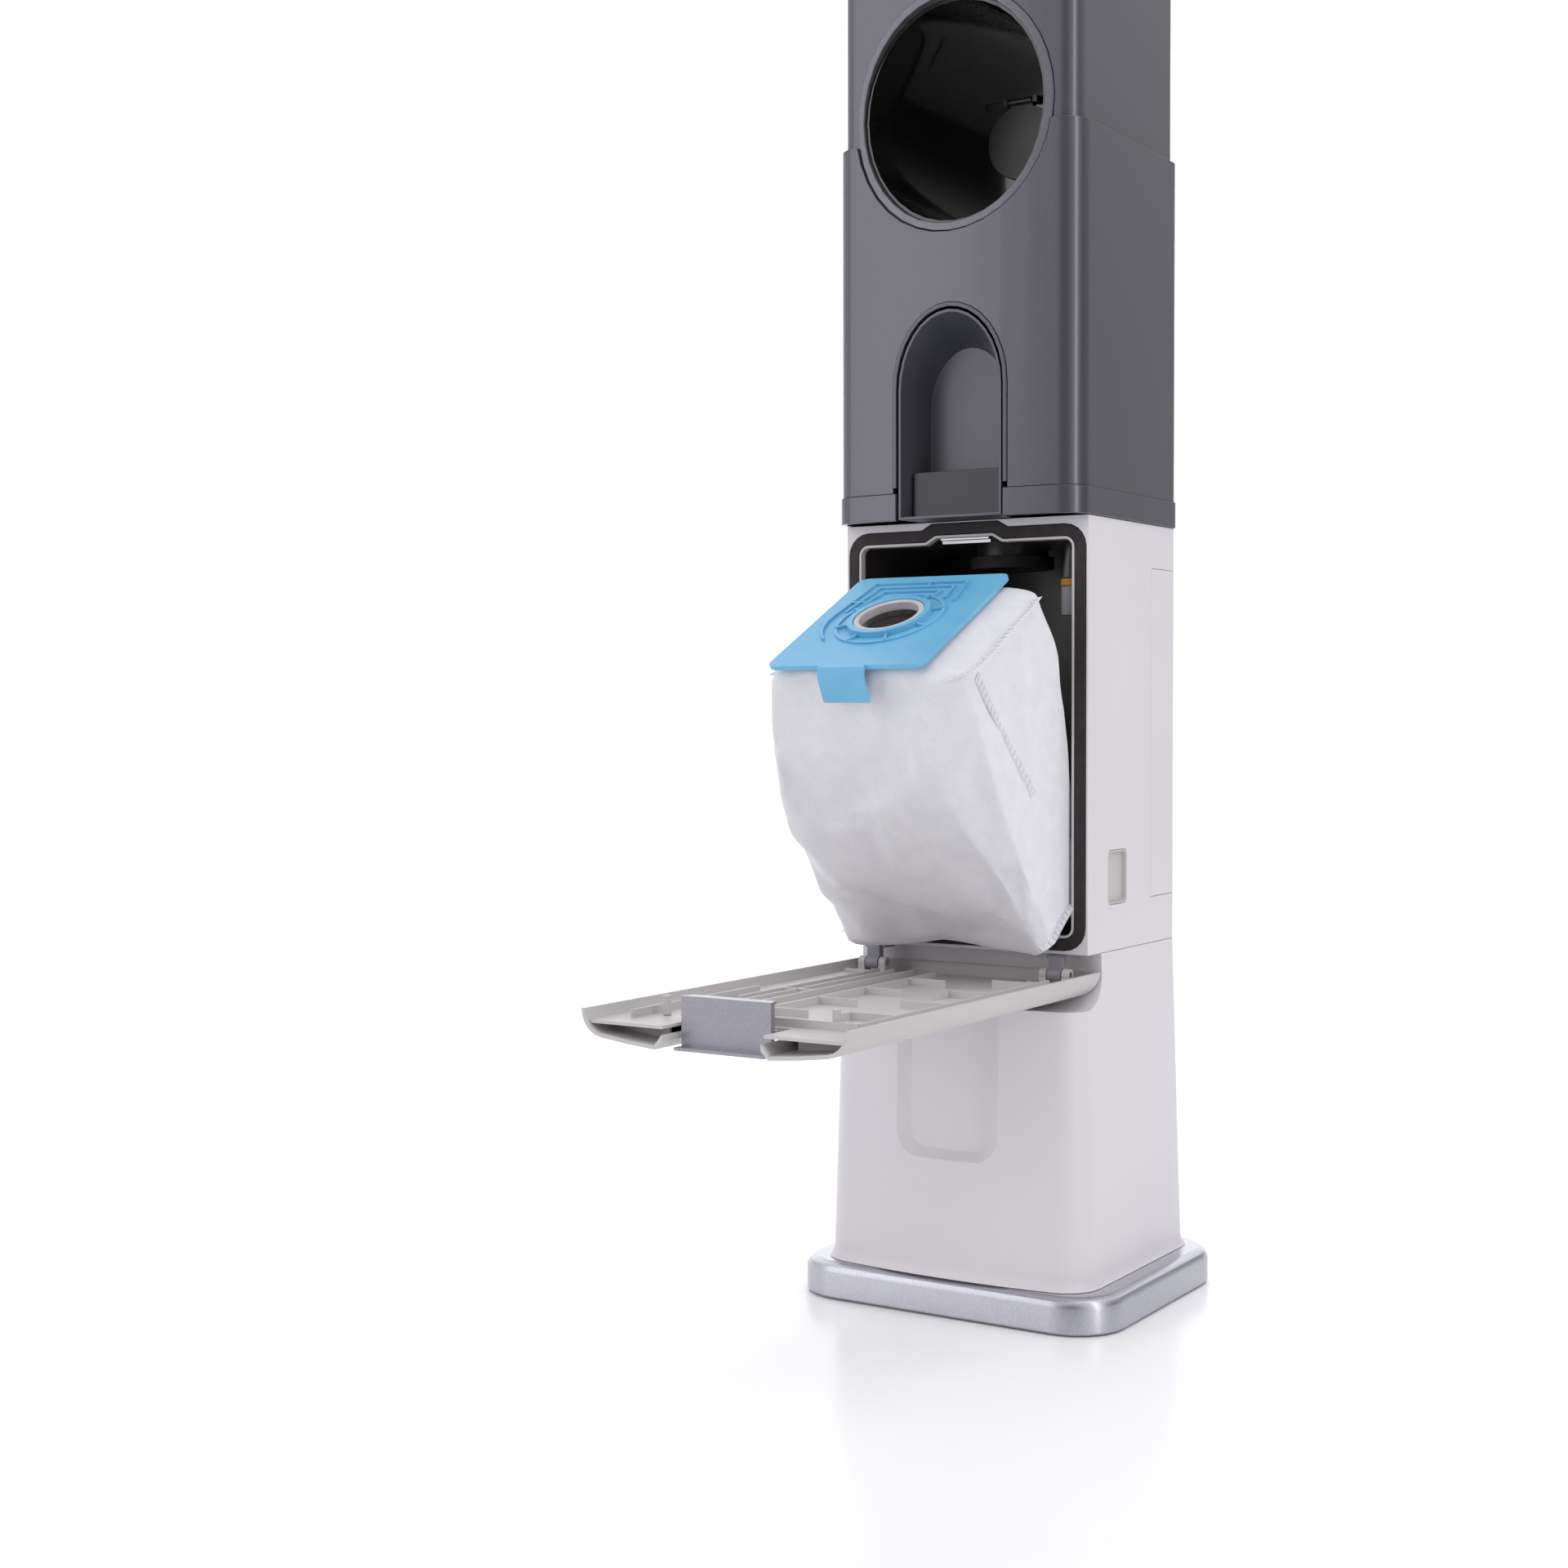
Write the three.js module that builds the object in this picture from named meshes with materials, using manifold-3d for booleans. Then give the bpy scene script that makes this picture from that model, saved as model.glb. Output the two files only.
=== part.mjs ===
// Free-standing suction waste tower: a slim column on a weighted plinth, with a
// drop-down door in front of a disposable-bag compartment, a grip niche and a
// round dock socket above it.
// Units are millimetres, +Z is up, the front faces -Y, +X is the right-hand side
// seen from the front, and the origin is the centre of the base's underside.
import * as THREE from 'three';
import { mergeVertices } from 'three/addons/utils/BufferGeometryUtils.js';
import Module from 'manifold-3d';

const wasm = await Module();
wasm.setup();

// ---------------------------------------------------------------- dimensions
// column
const BODY_W = 190;          // width of the column
const BODY_D = 175;          // depth at the column's edges
const BOW = 5.5;             // how far the front face swells forward of its edges
const R_FRONT = 17;          // front corner radius
const R_BACK = 14;           // back corner radius
const WALL = 3.2;            // moulded wall
const GAP = 0.3;             // clearance between pieces that touch
// levels
const Z_DECK = 26;           // top of the plinth
const Z_SEAM = 252;          // lower housing to middle housing
const Z_COVER = 551;         // underside of the dark covers
const BAND_H = 19;           // height of the trim band
const Z_SLEEVE = 815;        // top edge of the wider lower sleeve
const Z_HEAD = 1003;         // top of the head covers
const CAP_H = 27;            // height of the top cap
// plinth and foot
const PLINTH_W = 246;
const PLINTH_D = 216;
const PLINTH_R = 38;
const PLINTH_BEVEL = 7;
const PAD_H = 3.3;
const TAPER = 6.4;           // how far the lower housing spreads towards its foot
const FLARE = 3.6;           // extra spread of the foot fillet
// bag compartment and its frame
const DOOR_SPACE = 18;       // depth that the shut door fills in front of the frame
const FRAME_Y = -(BODY_D / 2 - DOOR_SPACE);   // front plane of the compartment frame
const FRAME_EDGE = 1.8;      // white edge left outside the gasket
const GATE_HALF = BODY_W / 2 - FRAME_EDGE;    // half width of the gasket's outline
const GATE_Z0 = 254.6;
const GATE_Z1 = 545.5;
const GATE_R = 16;
const BUMP_HALF = 34;        // half width of the latch bump at its foot
const BUMP_TOP = 26;
const BUMP_H = 4.5;
const GASKET_W = 8.2;
const RIB_OUT = 8.6;         // from the gasket's outline in to the rib's outer face
const RIB_W = 1.8;
const LINER_WALL = 2.3;
const BACK_SPACE = 7.8;      // exhaust filter and rear cover behind the liner
const LINER_BACK = BODY_D / 2 - BACK_SPACE;
// door
const HINGE_BACK = 1.5;      // hinge axis in front of the frame plane
const HINGE_Y = FRAME_Y - HINGE_BACK;
const HINGE_Z = 238.5;
const DOOR_END = 550;        // top edge of the closed door
const DOOR_SKIN = 2.5;
const NOSE_R = DOOR_SPACE + BOW - HINGE_BACK; // the door's rounded hinge end
const NOSE_CLEAR = 1.6;
const HINGE_INSET = 23;      // centre of each hinge in from the side
const HINGE_X = BODY_W / 2 - HINGE_INSET;
const PIN_R = 2;
const KNUCKLE_R = 4.6;
const KNUCKLE_L = 10;
// channel down the front of the door and the lower housing
const CHAN_OUT = 41.5;
const CHAN_IN = 31;
const CHAN_DEPTH = 10.5;     // on the door
const FOOT_CHAN_DEPTH = 7;   // on the lower housing
const FOOT_CHAN_Z = 107;
// bag
const BAG_TILT = 27;         // degrees the bag leans out in the open state
const BAG_POLE_Y = FRAME_Y + 35.5;            // centre that the bag swings about
const BAG_POLE_Z = 120.6;
const PLATE_W = 116;
const PLATE_T = 3;
const PLATE_Z = 500;         // underside of the plate when the bag is home
const PLATE_Y0 = FRAME_Y + 5.5;               // front edge of the plate when home
const BAG_CLEAR = 3.4;       // plate's back edge to the liner
const PLATE_Y1 = LINER_BACK - LINER_WALL - BAG_CLEAR;
const PLATE_YC = (PLATE_Y0 + PLATE_Y1) / 2;   // hole and spigot centre
const HOLE_R = 24.5;
const COLLAR_R = 38;
const COLLAR_H = 4;
const BAG_SIDE_CLEAR = 2.3;
const BAG_HALF = GATE_HALF - RIB_OUT - LINER_WALL - BAG_SIDE_CLEAR;   // half width of its body
// spigot
const SPIGOT_R = 26;
const SPIGOT_Z = 520.5;
// grip niche
const NICHE_HALF = 41.5;
const NICHE_SPRING = 642;
const NICHE_RISE = 54;
const NICHE_IN_HALF = 33.5;
const NICHE_IN_SPRING = 628;
const NICHE_IN_RISE = 46;
const NICHE_REACH = 29.5;    // from the column's front edge plane to the niche's back
const NICHE_Y = -(BODY_D / 2 - NICHE_REACH);
const BEAD_W = 2.8;
const BEAD_PROUD = 0.8;
// dock socket
const DOCK_Z = 831;
const DOCK_RX = 70.6;
const DOCK_RZ = 77.5;
const RING_W = 5.8;
const DUCT_SPACE = 63.5;     // room behind the socket for the waste duct
const DOCK_BACK = BODY_D / 2 - DUCT_SPACE;
const HEAD_STEP = 3.5;       // how far the head is set in from the sleeve
const PORT_R = 24;
// rear filter cover
const RCOV_REACH = 51.5;     // how far the cover wraps forward round the sides
const RCOV_Y = BODY_D / 2 - RCOV_REACH;
const RCOV_Z0 = 285;
const RCOV_Z1 = 520;
const RCOV_T = 2.5;
// suction motor
const MOTOR_R = 52;
const MOTOR_Y = BODY_D / 2 - 82.5;            // leaves room for the power inlet
const MOTOR_Z0 = 40;
const MOTOR_Z1 = 160;
const SHAFT_R = 4;
const FAN_R = 43;

// ------------------------------------------------------------------ helpers
const rad = (d) => d * Math.PI / 180;

// A closed three.js geometry as a manifold solid.
function solid(geometry) {
  let g = geometry.index ? geometry.toNonIndexed() : geometry.clone();
  for (const key of Object.keys(g.attributes)) if (key !== 'position') g.deleteAttribute(key);
  g = mergeVertices(g, 1e-3);
  const tri = [];
  for (let i = 0; i < g.index.count; i += 3) {
    const a = g.index.getX(i), b = g.index.getX(i + 1), c = g.index.getX(i + 2);
    if (a !== b && b !== c && a !== c) tri.push(a, b, c);
  }
  return new wasm.Manifold(new wasm.Mesh({
    numProp: 3,
    vertProperties: new Float32Array(g.attributes.position.array),
    triVerts: new Uint32Array(tri),
  }));
}
const join = (list) => list.reduce((a, b) => a.add(b));
const cut = (body, ...tools) => tools.reduce((a, b) => a.subtract(b), body);

function box(x0, x1, y0, y1, z0, z1) {
  const g = new THREE.BoxGeometry(x1 - x0, y1 - y0, z1 - z0);
  return solid(g.translate((x0 + x1) / 2, (y0 + y1) / 2, (z0 + z1) / 2));
}
// Cylinder from a to b along one axis; c holds the other two coordinates in X, Y, Z order.
function rod(axis, r, a, b, c, seg = 24, r2 = r) {
  const g = new THREE.CylinderGeometry(r2, r, b - a, seg);
  if (axis === 'x') g.rotateZ(-Math.PI / 2).translate((a + b) / 2, c[0], c[1]);
  if (axis === 'y') g.translate(c[0], (a + b) / 2, c[1]);
  if (axis === 'z') g.rotateX(Math.PI / 2).translate(c[0], c[1], (a + b) / 2);
  return solid(g);
}
const vecs = (pts) => pts.map((p) => new THREE.Vector2(p[0], p[1]));
function extrude(pts, depth) {
  return new THREE.ExtrudeGeometry(new THREE.Shape(vecs(pts)), { depth, steps: 1, bevelEnabled: false });
}
// Outlines in XY, XZ and YZ, pushed along Z, Y and X.
const prismZ = (pts, z0, z1) => solid(extrude(pts, z1 - z0).translate(0, 0, z0));
const prismY = (pts, y0, y1) => solid(extrude(pts, y1 - y0).rotateX(Math.PI / 2).translate(0, y1, 0));
function prismX(pts, x0, x1) {
  const g = extrude(pts, x1 - x0);
  g.applyMatrix4(new THREE.Matrix4().set(0, 0, 1, x0, 1, 0, 0, 0, 0, 1, 0, 0, 0, 0, 0, 1));
  return solid(g);
}
// Closed skin through rings of equal point count, each counter-clockwise seen from the last ring's side.
function loft(rings, capUV = (p) => [p[0], p[1]]) {
  const n = rings[0].length, pos = [], idx = [];
  for (const ring of rings) for (const p of ring) pos.push(p[0], p[1], p[2]);
  for (let k = 0; k + 1 < rings.length; k++) {
    for (let j = 0; j < n; j++) {
      const a = k * n + j, b = k * n + (j + 1) % n;
      idx.push(a, b, b + n, a, b + n, a + n);
    }
  }
  const last = (rings.length - 1) * n;
  const top = THREE.ShapeUtils.triangulateShape(vecs(rings[rings.length - 1].map(capUV)), []);
  const low = THREE.ShapeUtils.triangulateShape(vecs(rings[0].map(capUV)), []);
  for (const t of top) idx.push(last + t[0], last + t[1], last + t[2]);
  for (const t of low) idx.push(t[0], t[2], t[1]);
  const g = new THREE.BufferGeometry();
  g.setAttribute('position', new THREE.Float32BufferAttribute(pos, 3));
  g.setIndex(idx);
  return g;
}
const ringsZ = (levels) => levels.map(([pts, z]) => pts.map((p) => [p[0], p[1], z]));
const loftZ = (levels) => solid(loft(ringsZ(levels)));
// Levels run from the front (low y) to the back; outlines are in XZ. lean moves a
// point back or forward with its height, so a pocket can follow a sloping face.
function loftY(levels, lean = () => 0) {
  const g = loft(ringsZ(levels.slice().reverse().map(([pts, y]) => [pts, -y])));
  g.rotateX(Math.PI / 2);
  const p = g.attributes.position;
  for (let i = 0; i < p.count; i++) p.setY(i, p.getY(i) + lean(p.getZ(i)));
  return solid(g);
}
function arc(cx, cy, r, a0, a1, n, ry = r) {
  const out = [];
  for (let i = 0; i <= n; i++) {
    const a = rad(a0 + (a1 - a0) * i / n);
    out.push([cx + r * Math.cos(a), cy + ry * Math.sin(a)]);
  }
  return out;
}
function roundRect(x0, x1, y0, y1, r, n = 5) {
  return [
    ...arc(x1 - r, y0 + r, r, -90, 0, n), ...arc(x1 - r, y1 - r, r, 0, 90, n),
    ...arc(x0 + r, y1 - r, r, 90, 180, n), ...arc(x0 + r, y0 + r, r, 180, 270, n),
  ];
}
const ellipse = (cx, cy, rx, ry, n = 40) => arc(cx, cy, rx, 0, 360 - 360 / n, n - 1, ry);

// The column's plan, moved in from its outer face: a bowed front blended into
// round front corners, straight sides and round back corners.
const R_BOW = ((BODY_W / 2 - 15) ** 2 + BOW ** 2) / (2 * BOW);
function plan(inset = 0, nCorner = 5, nFront = 8) {
  const a = BODY_W / 2 - inset;
  const r = Math.max(R_FRONT - inset, 1.5);
  const bowC = -(BODY_D / 2 + BOW) + R_BOW;
  const R = R_BOW - inset;
  const cy = bowC - Math.sqrt((R - r) ** 2 - (a - r) ** 2);
  const t = Math.atan2(a - r, bowC - cy) * 180 / Math.PI;
  const back = BODY_D / 2 - inset;
  const rb = Math.max(R_BACK - inset, 1.5);
  const front = arc(0, bowC, R, -90 - t, -90 + t, nFront);
  const right = arc(a - r, cy, r, -90 + t, 0, nCorner).slice(1);
  const left = arc(-a + r, cy, r, 180, 270 - t, nCorner).slice(0, -1);
  return [...front, ...right, ...arc(a - rb, back - rb, rb, 0, 90, nCorner),
    ...arc(-a + rb, back - rb, rb, 90, 180, nCorner), ...left];
}
const FAR = 400;
const ahead = (y) => box(-FAR, FAR, -FAR, y, -50, 1300);      // everything in front of y
const behind = (y) => box(-FAR, FAR, y, FAR, -50, 1300);

// The compartment opening's outline in XZ, moved inwards: round corners and a
// shallow trapezoid bump at the top for the latch.
function gate(inset = 0) {
  const h = GATE_HALF - inset, z0 = GATE_Z0 + inset, z1 = GATE_Z1 - inset;
  const r = Math.max(GATE_R - inset, 2);
  const b0 = BUMP_HALF - 0.4 * inset, b1 = BUMP_TOP - 0.4 * inset;
  return [
    ...arc(h - r, z0 + r, r, -90, 0, 5), ...arc(h - r, z1 - r, r, 0, 90, 5),
    [b0, z1], [b1, z1 + BUMP_H], [-b1, z1 + BUMP_H], [-b0, z1],
    ...arc(-h + r, z1 - r, r, 90, 180, 5), ...arc(-h + r, z0 + r, r, 180, 270, 5),
  ];
}
// An arch outline in XZ: straight legs, elliptical head.
function arch(half, z0, spring, rise, n = 16) {
  return [[-half, z0], [half, z0], ...arc(0, spring, half, 0, 180, n, rise)];
}

// ---------------------------------------------------------------- materials
const matte = (hex, roughness = 0.5, metalness = 0) =>
  new THREE.MeshStandardMaterial({ color: hex, roughness, metalness });
const WHITE = matte(0xe2dde2, 0.35);
const WARM = matte(0xd3cfcd, 0.45);
const SILVER = matte(0xa9a8b3, 0.3, 0.6);
const GRAPHITE = matte(0x5a5a60, 0.35, 0.4);
const BLACK = matte(0x1a1918, 0.5);
const GLOSS = matte(0x0d0b0d, 0.12);
const RUBBER = matte(0x2a2628, 0.8);
const STEEL = matte(0x9a98a0, 0.3, 1);
const BLUE = matte(0x6fb1d6, 0.4);
const CLOTH = matte(0xe9e8ee, 0.9);
const AMBER = matte(0xb8862e, 0.5);
const GREY = matte(0x8e8d93, 0.5);
const GREEN = matte(0x2e5a3c, 0.6);
const COPPER = matte(0x9c6a44, 0.4, 0.8);

const group = new THREE.Group();
function add(name, body, material, parent = group) {
  const mesh = body.getMesh();
  const g = new THREE.BufferGeometry();
  g.setAttribute('position', new THREE.BufferAttribute(new Float32Array(mesh.vertProperties), 3));
  g.setIndex(new THREE.BufferAttribute(new Uint32Array(mesh.triVerts), 1));
  g.computeVertexNormals();
  const node = new THREE.Mesh(g, material);
  node.name = name;
  parent.add(node);
  return node;
}

// A frame turned about a sideways axis through (y, z). What is added to it is given
// in the row's own coordinates, as it lies before the turn.
function swung(y, z, degrees) {
  const axis = new THREE.Group();
  axis.position.set(0, y, z);
  axis.rotation.x = rad(degrees);
  const inner = new THREE.Group();
  inner.position.set(0, -y, -z);
  axis.add(inner);
  group.add(axis);
  return inner;
}

// -------------------------------------------------------------------- plinth
// A die-cast plinth with a bevelled top, a steel ballast plate inside it and a
// soft pad underneath that stands on the floor.
{
  const w = PLINTH_W / 2, d = PLINTH_D / 2;
  const outline = (i) => roundRect(-w + i, w - i, -d + i, d - i, PLINTH_R - i, 7);
  const wallTop = Z_DECK - PLINTH_BEVEL;
  const shell = loftZ([[outline(1.5), 1], [outline(0), 2.5], [outline(0), wallTop],
    [outline(2.2), wallTop + 4.2], [outline(PLINTH_BEVEL), Z_DECK]]);
  const well = prismZ(outline(7), -5, Z_DECK - 6);
  const drain = rod('z', 9, 0, Z_DECK + 2, [0, 74], 16);
  add('base_plinth', cut(shell, well, drain), SILVER);
  add('base_pad', prismZ(outline(7 + GAP), 0, PAD_H), RUBBER);
  add('base_weight', cut(prismZ(outline(16), PAD_H + GAP, Z_DECK - 6 - GAP),
    rod('z', 9, 0, Z_DECK + 2, [0, 74], 16)), STEEL);
}

// ------------------------------------------------------------- lower housing
// Spreads gently towards the foot; a shallow channel runs down its front and a
// round trough across the top front edge clears the door's hinge end.
// A block that is wide at the front face and narrow at the channel's floor.
function channelBlock(depth, z0, z1, r) {
  const front = -(BODY_D / 2 + BOW), ahead = 4, wall = CHAN_OUT - CHAN_IN;
  const k = ahead * wall / depth;
  const wide = roundRect(-CHAN_OUT - k, CHAN_OUT + k, z0 - k * 0.5, z1, r + k * 0.5, 6);
  const slim = roundRect(-CHAN_IN, CHAN_IN, z0 + wall * 0.6, z1, r - 5, 6);
  const lean = (z) => -TAPER * (Z_SEAM - z) / (Z_SEAM - Z_DECK - 8);
  return loftY([[wide, front - ahead], [slim, front + depth]], lean);
}
{
  const skin = (i, z0, z1) => loftZ([[plan(i - TAPER - FLARE), z0], [plan(i - TAPER - FLARE * 0.4), z0 + 2.4],
    [plan(i - TAPER), z0 + 8], [plan(i), z1]]);
  const outer = skin(0, Z_DECK + GAP, Z_SEAM - GAP / 2);
  const noseR = NOSE_R + NOSE_CLEAR;
  const trough = join([
    rod('x', noseR, -FAR, FAR, [HINGE_Y, HINGE_Z], 40),
    box(-FAR, FAR, -FAR, HINGE_Y, HINGE_Z - noseR, Z_SEAM + 5),
    box(-FAR, FAR, HINGE_Y - 1, HINGE_Y + noseR - 0.4, HINGE_Z, Z_SEAM + 5),
  ]);
  const channel = channelBlock(FOOT_CHAN_DEPTH, FOOT_CHAN_Z, HINGE_Z + 60, 18);
  const inside = cut(loftZ([[plan(WALL - TAPER), 10], [plan(WALL), Z_SEAM - WALL - 1]]),
    rod('x', noseR + WALL, -FAR, FAR, [HINGE_Y, HINGE_Z], 40),
    box(-FAR, FAR, -FAR, HINGE_Y + 1, HINGE_Z - noseR - WALL, Z_SEAM + 5),
    box(-FAR, FAR, HINGE_Y, HINGE_Y + noseR + WALL, HINGE_Z, Z_SEAM + 5),
    box(-CHAN_OUT - 4, CHAN_OUT + 4, -FAR, -(BODY_D / 2 + BOW) + FOOT_CHAN_DEPTH + WALL, FOOT_CHAN_Z - 12, Z_SEAM));
  const inletHole = box(-13, 13, BODY_D / 2 - 12, FAR, 50, 70);
  const duct = rod('z', 33, Z_SEAM - 50, Z_SEAM + 5, [0, MOTOR_Y], 32);
  add('lower_housing', cut(outer, trough, channel, inside, inletHole, duct), WHITE);
  // power inlet in the back wall
  const yb = BODY_D / 2;
  const inlet = join([box(-13 + GAP, 13 - GAP, yb - 22, yb + 1.2, 50 + GAP, 70 - GAP)]);
  add('power_inlet', cut(inlet, box(-10, 10, yb - 16, yb + 5, 53, 67)), BLACK);
}

// ------------------------------------------------------------- suction motor
// Rubber cup, motor can, core, shaft, impeller and the pipe up to the compartment.
{
  const c = [0, MOTOR_Y];
  add('motor_mount', cut(rod('z', MOTOR_R + 6, Z_DECK + GAP, MOTOR_Z0 + 14, c, 32),
    rod('z', MOTOR_R + GAP, MOTOR_Z0 - GAP, MOTOR_Z0 + 30, c, 32)), RUBBER);
  add('motor_can', cut(rod('z', MOTOR_R, MOTOR_Z0, MOTOR_Z1, c, 32),
    rod('z', MOTOR_R - 2.5, MOTOR_Z0 + 2.5, MOTOR_Z1 - 2.5, c, 32),
    rod('z', 28, MOTOR_Z1 - 10, MOTOR_Z1 + 5, c, 32),
    box(c[0] - 20, c[0] + 20, c[1] + 40, c[1] + 60, MOTOR_Z0 + 20, MOTOR_Z0 + 60)), GREY);
  add('motor_core', cut(rod('z', 33, MOTOR_Z0 + 2.8, MOTOR_Z0 + 62, c, 24),
    rod('z', SHAFT_R + GAP, MOTOR_Z0 + 12, MOTOR_Z0 + 80, c, 24)), COPPER);
  add('motor_shaft', rod('z', SHAFT_R, MOTOR_Z0 + 12 + GAP, MOTOR_Z1 - 24, c, 24), STEEL);
  const fan = [rod('z', FAN_R, MOTOR_Z0 + 74, MOTOR_Z0 + 77, c, 24), rod('z', 10, MOTOR_Z0 + 74, MOTOR_Z0 + 92, c, 12)];
  for (let i = 0; i < 7; i++) {
    const blade = new THREE.BoxGeometry(FAN_R - 9, 2.4, 14).translate((FAN_R + 7) / 2, 0, 0)
      .rotateZ(rad(i * 360 / 7)).translate(c[0], c[1], MOTOR_Z0 + 84 - 1);
    fan.push(solid(blade));
  }
  add('impeller', cut(join(fan), rod('z', SHAFT_R + 0.05, 0, 400, c, 24)), GREY);
  add('suction_pipe', cut(rod('z', 31, MOTOR_Z1 + GAP, Z_SEAM + 3.6, c, 32),
    rod('z', 28, 0, 400, c, 32)), BLACK);
  const yb = BODY_D / 2;
  add('control_board', join([box(-60, -40, yb - 30, yb - 28, 60, 150), box(-58, -44, yb - 38, yb - 30, 80, 100)]), GREEN);
}

// ------------------------------------------------------------ middle housing
// The bag compartment's white body; its front is the frame that the door shuts on.
const pocket = { y0: -37, y1: -5.5, z0: 284, z1: 322, depth: 5 };
{
  const z0 = Z_SEAM + GAP / 2, z1 = Z_COVER - GAP / 2;
  const outer = prismZ(plan(0), z0, z1).intersect(behind(FRAME_Y));
  const hollow = prismY(gate(RIB_OUT - GAP), FRAME_Y - 5, LINER_BACK + GAP);
  const gasketSeat = prismY(gate(0), FRAME_Y - 5, FRAME_Y + 5);
  const wrap = cut(prismZ(plan(-5), RCOV_Z0, RCOV_Z1), prismZ(plan(RCOV_T + GAP), 0, 900)).intersect(behind(RCOV_Y));
  const window = prismY(roundRect(-60, 60, 310, 495, 6, 3), LINER_BACK - 10, FAR);
  const floorHole = rod('z', 31 + GAP, z0 - 5, z0 + 20, [0, MOTOR_Y], 32);
  const roofHole = rod('z', SPIGOT_R + GAP, z1 - 30, z1 + 5, [0, PLATE_YC], 32);
  const pockets = [1, -1].map((s) => prismX(roundRect(pocket.y0, pocket.y1, pocket.z0, pocket.z1, 4, 3),
    s > 0 ? BODY_W / 2 - pocket.depth : -BODY_W / 2 - 5, s > 0 ? BODY_W / 2 + 5 : -BODY_W / 2 + pocket.depth));
  add('mid_housing', cut(outer, hollow, gasketSeat, wrap, window, floorHole, roofHole, ...pockets), WHITE);
  // rear cover, wrapped round both back corners, and the exhaust filter behind it
  const cover = cut(prismZ(plan(0), RCOV_Z0 + GAP, RCOV_Z1 - GAP), prismZ(plan(RCOV_T), 0, 900))
    .intersect(behind(RCOV_Y + GAP));
  const slots = [];
  for (let i = 0; i < 9; i++) slots.push(box(-48, 48, LINER_BACK, FAR, 330 + i * 18, 336 + i * 18));
  add('rear_filter_cover', cut(cover, ...slots), WHITE);
  const yf = BODY_D / 2 - RCOV_T - GAP;
  add('exhaust_filter', prismY(roundRect(-60 + GAP, 60 - GAP, 310 + GAP, 495 - GAP, 6, 3),
    LINER_BACK + GAP + 0.2, yf), GREY);
  // gasket, its inner rib and the liner
  add('door_gasket', cut(prismY(gate(GAP), FRAME_Y - 0.7, FRAME_Y + 5 - GAP),
    prismY(gate(GASKET_W), FRAME_Y - 5, FRAME_Y + 9)), RUBBER);
  add('gasket_rib', cut(prismY(gate(RIB_OUT), FRAME_Y - 0.7, FRAME_Y + 5),
    prismY(gate(RIB_OUT + RIB_W), FRAME_Y - 5, FRAME_Y + 9)), WARM);
  const liner = cut(prismY(gate(RIB_OUT), FRAME_Y + 5 + GAP, LINER_BACK),
    prismY(gate(RIB_OUT + LINER_WALL), FRAME_Y - 5, LINER_BACK - LINER_WALL));
  const ribs = [];
  for (const s of [1, -1]) {
    for (let i = 0; i < 3; i++) {
      const x = GATE_HALF - RIB_OUT - LINER_WALL;
      ribs.push(box(s > 0 ? x - 1.2 : -x - 0.5, s > 0 ? x + 0.5 : -x + 1.2,
        FRAME_Y + 30, LINER_BACK - 10, 300 + i * 70, 303 + i * 70));
    }
  }
  add('bag_chamber_liner', cut(join([liner, ...ribs]), rod('z', 31 + GAP, 240, 275, [0, MOTOR_Y], 32),
    rod('z', SPIGOT_R + GAP, 525, 570, [0, PLATE_YC], 32)), BLACK);
  const grille = [cut(rod('z', 27.6, 253.5, 256.5, [0, MOTOR_Y], 24), rod('z', 24.4, 200, 300, [0, MOTOR_Y], 24))];
  for (let i = -1; i < 2; i++) {
    grille.push(box(-26, 26, MOTOR_Y + i * 13 - 1.2, MOTOR_Y + i * 13 + 1.2, 253.9, 256.1).intersect(rod('z', 27, 250, 265, [0, MOTOR_Y], 24)));
  }
  grille.push(box(-1.2, 1.2, MOTOR_Y - 26, MOTOR_Y + 26, 253.9, 256.1).intersect(rod('z', 27, 250, 265, [0, MOTOR_Y], 24)));
  add('floor_grille', join(grille), GREY);
  for (const s of [1, -1]) {
    const xOut = BODY_W / 2 - GAP, xIn = BODY_W / 2 - pocket.depth + GAP, w = 1.2;
    const y0 = pocket.y0 + GAP, y1 = pocket.y1 - GAP, za = pocket.z0 + GAP, zb = pocket.z1 - GAP;
    const slab = (pts, a, b) => prismX(pts, Math.min(s * a, s * b), Math.max(s * a, s * b));
    add(s > 0 ? 'side_pocket_R' : 'side_pocket_L', cut(slab(roundRect(y0, y1, za, zb, 3.8, 3), xIn, xOut),
      slab(roundRect(y0 + w, y1 - w, za + w, zb - w, 2.8, 3), xIn + w, xOut + 5)), WARM);
  }
  // latch strike in the bump of the frame
  const top = GATE_Z1 - RIB_OUT - RIB_W + BUMP_H;
  const strike = join([box(-19, 19, FRAME_Y + 0.4, FRAME_Y + 5, top - 1.8, top - GAP),
    box(-19, 19, FRAME_Y + 3.4, FRAME_Y + 5, top - 4.2, top - 1)]);
  const holes = [-11, 0, 11].map((x) => box(x - 3.2, x + 3.2, FRAME_Y + 1.2, FRAME_Y + 2.8, top - 3, top + 1));
  add('latch_strike', cut(strike, ...holes), STEEL);
}

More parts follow.
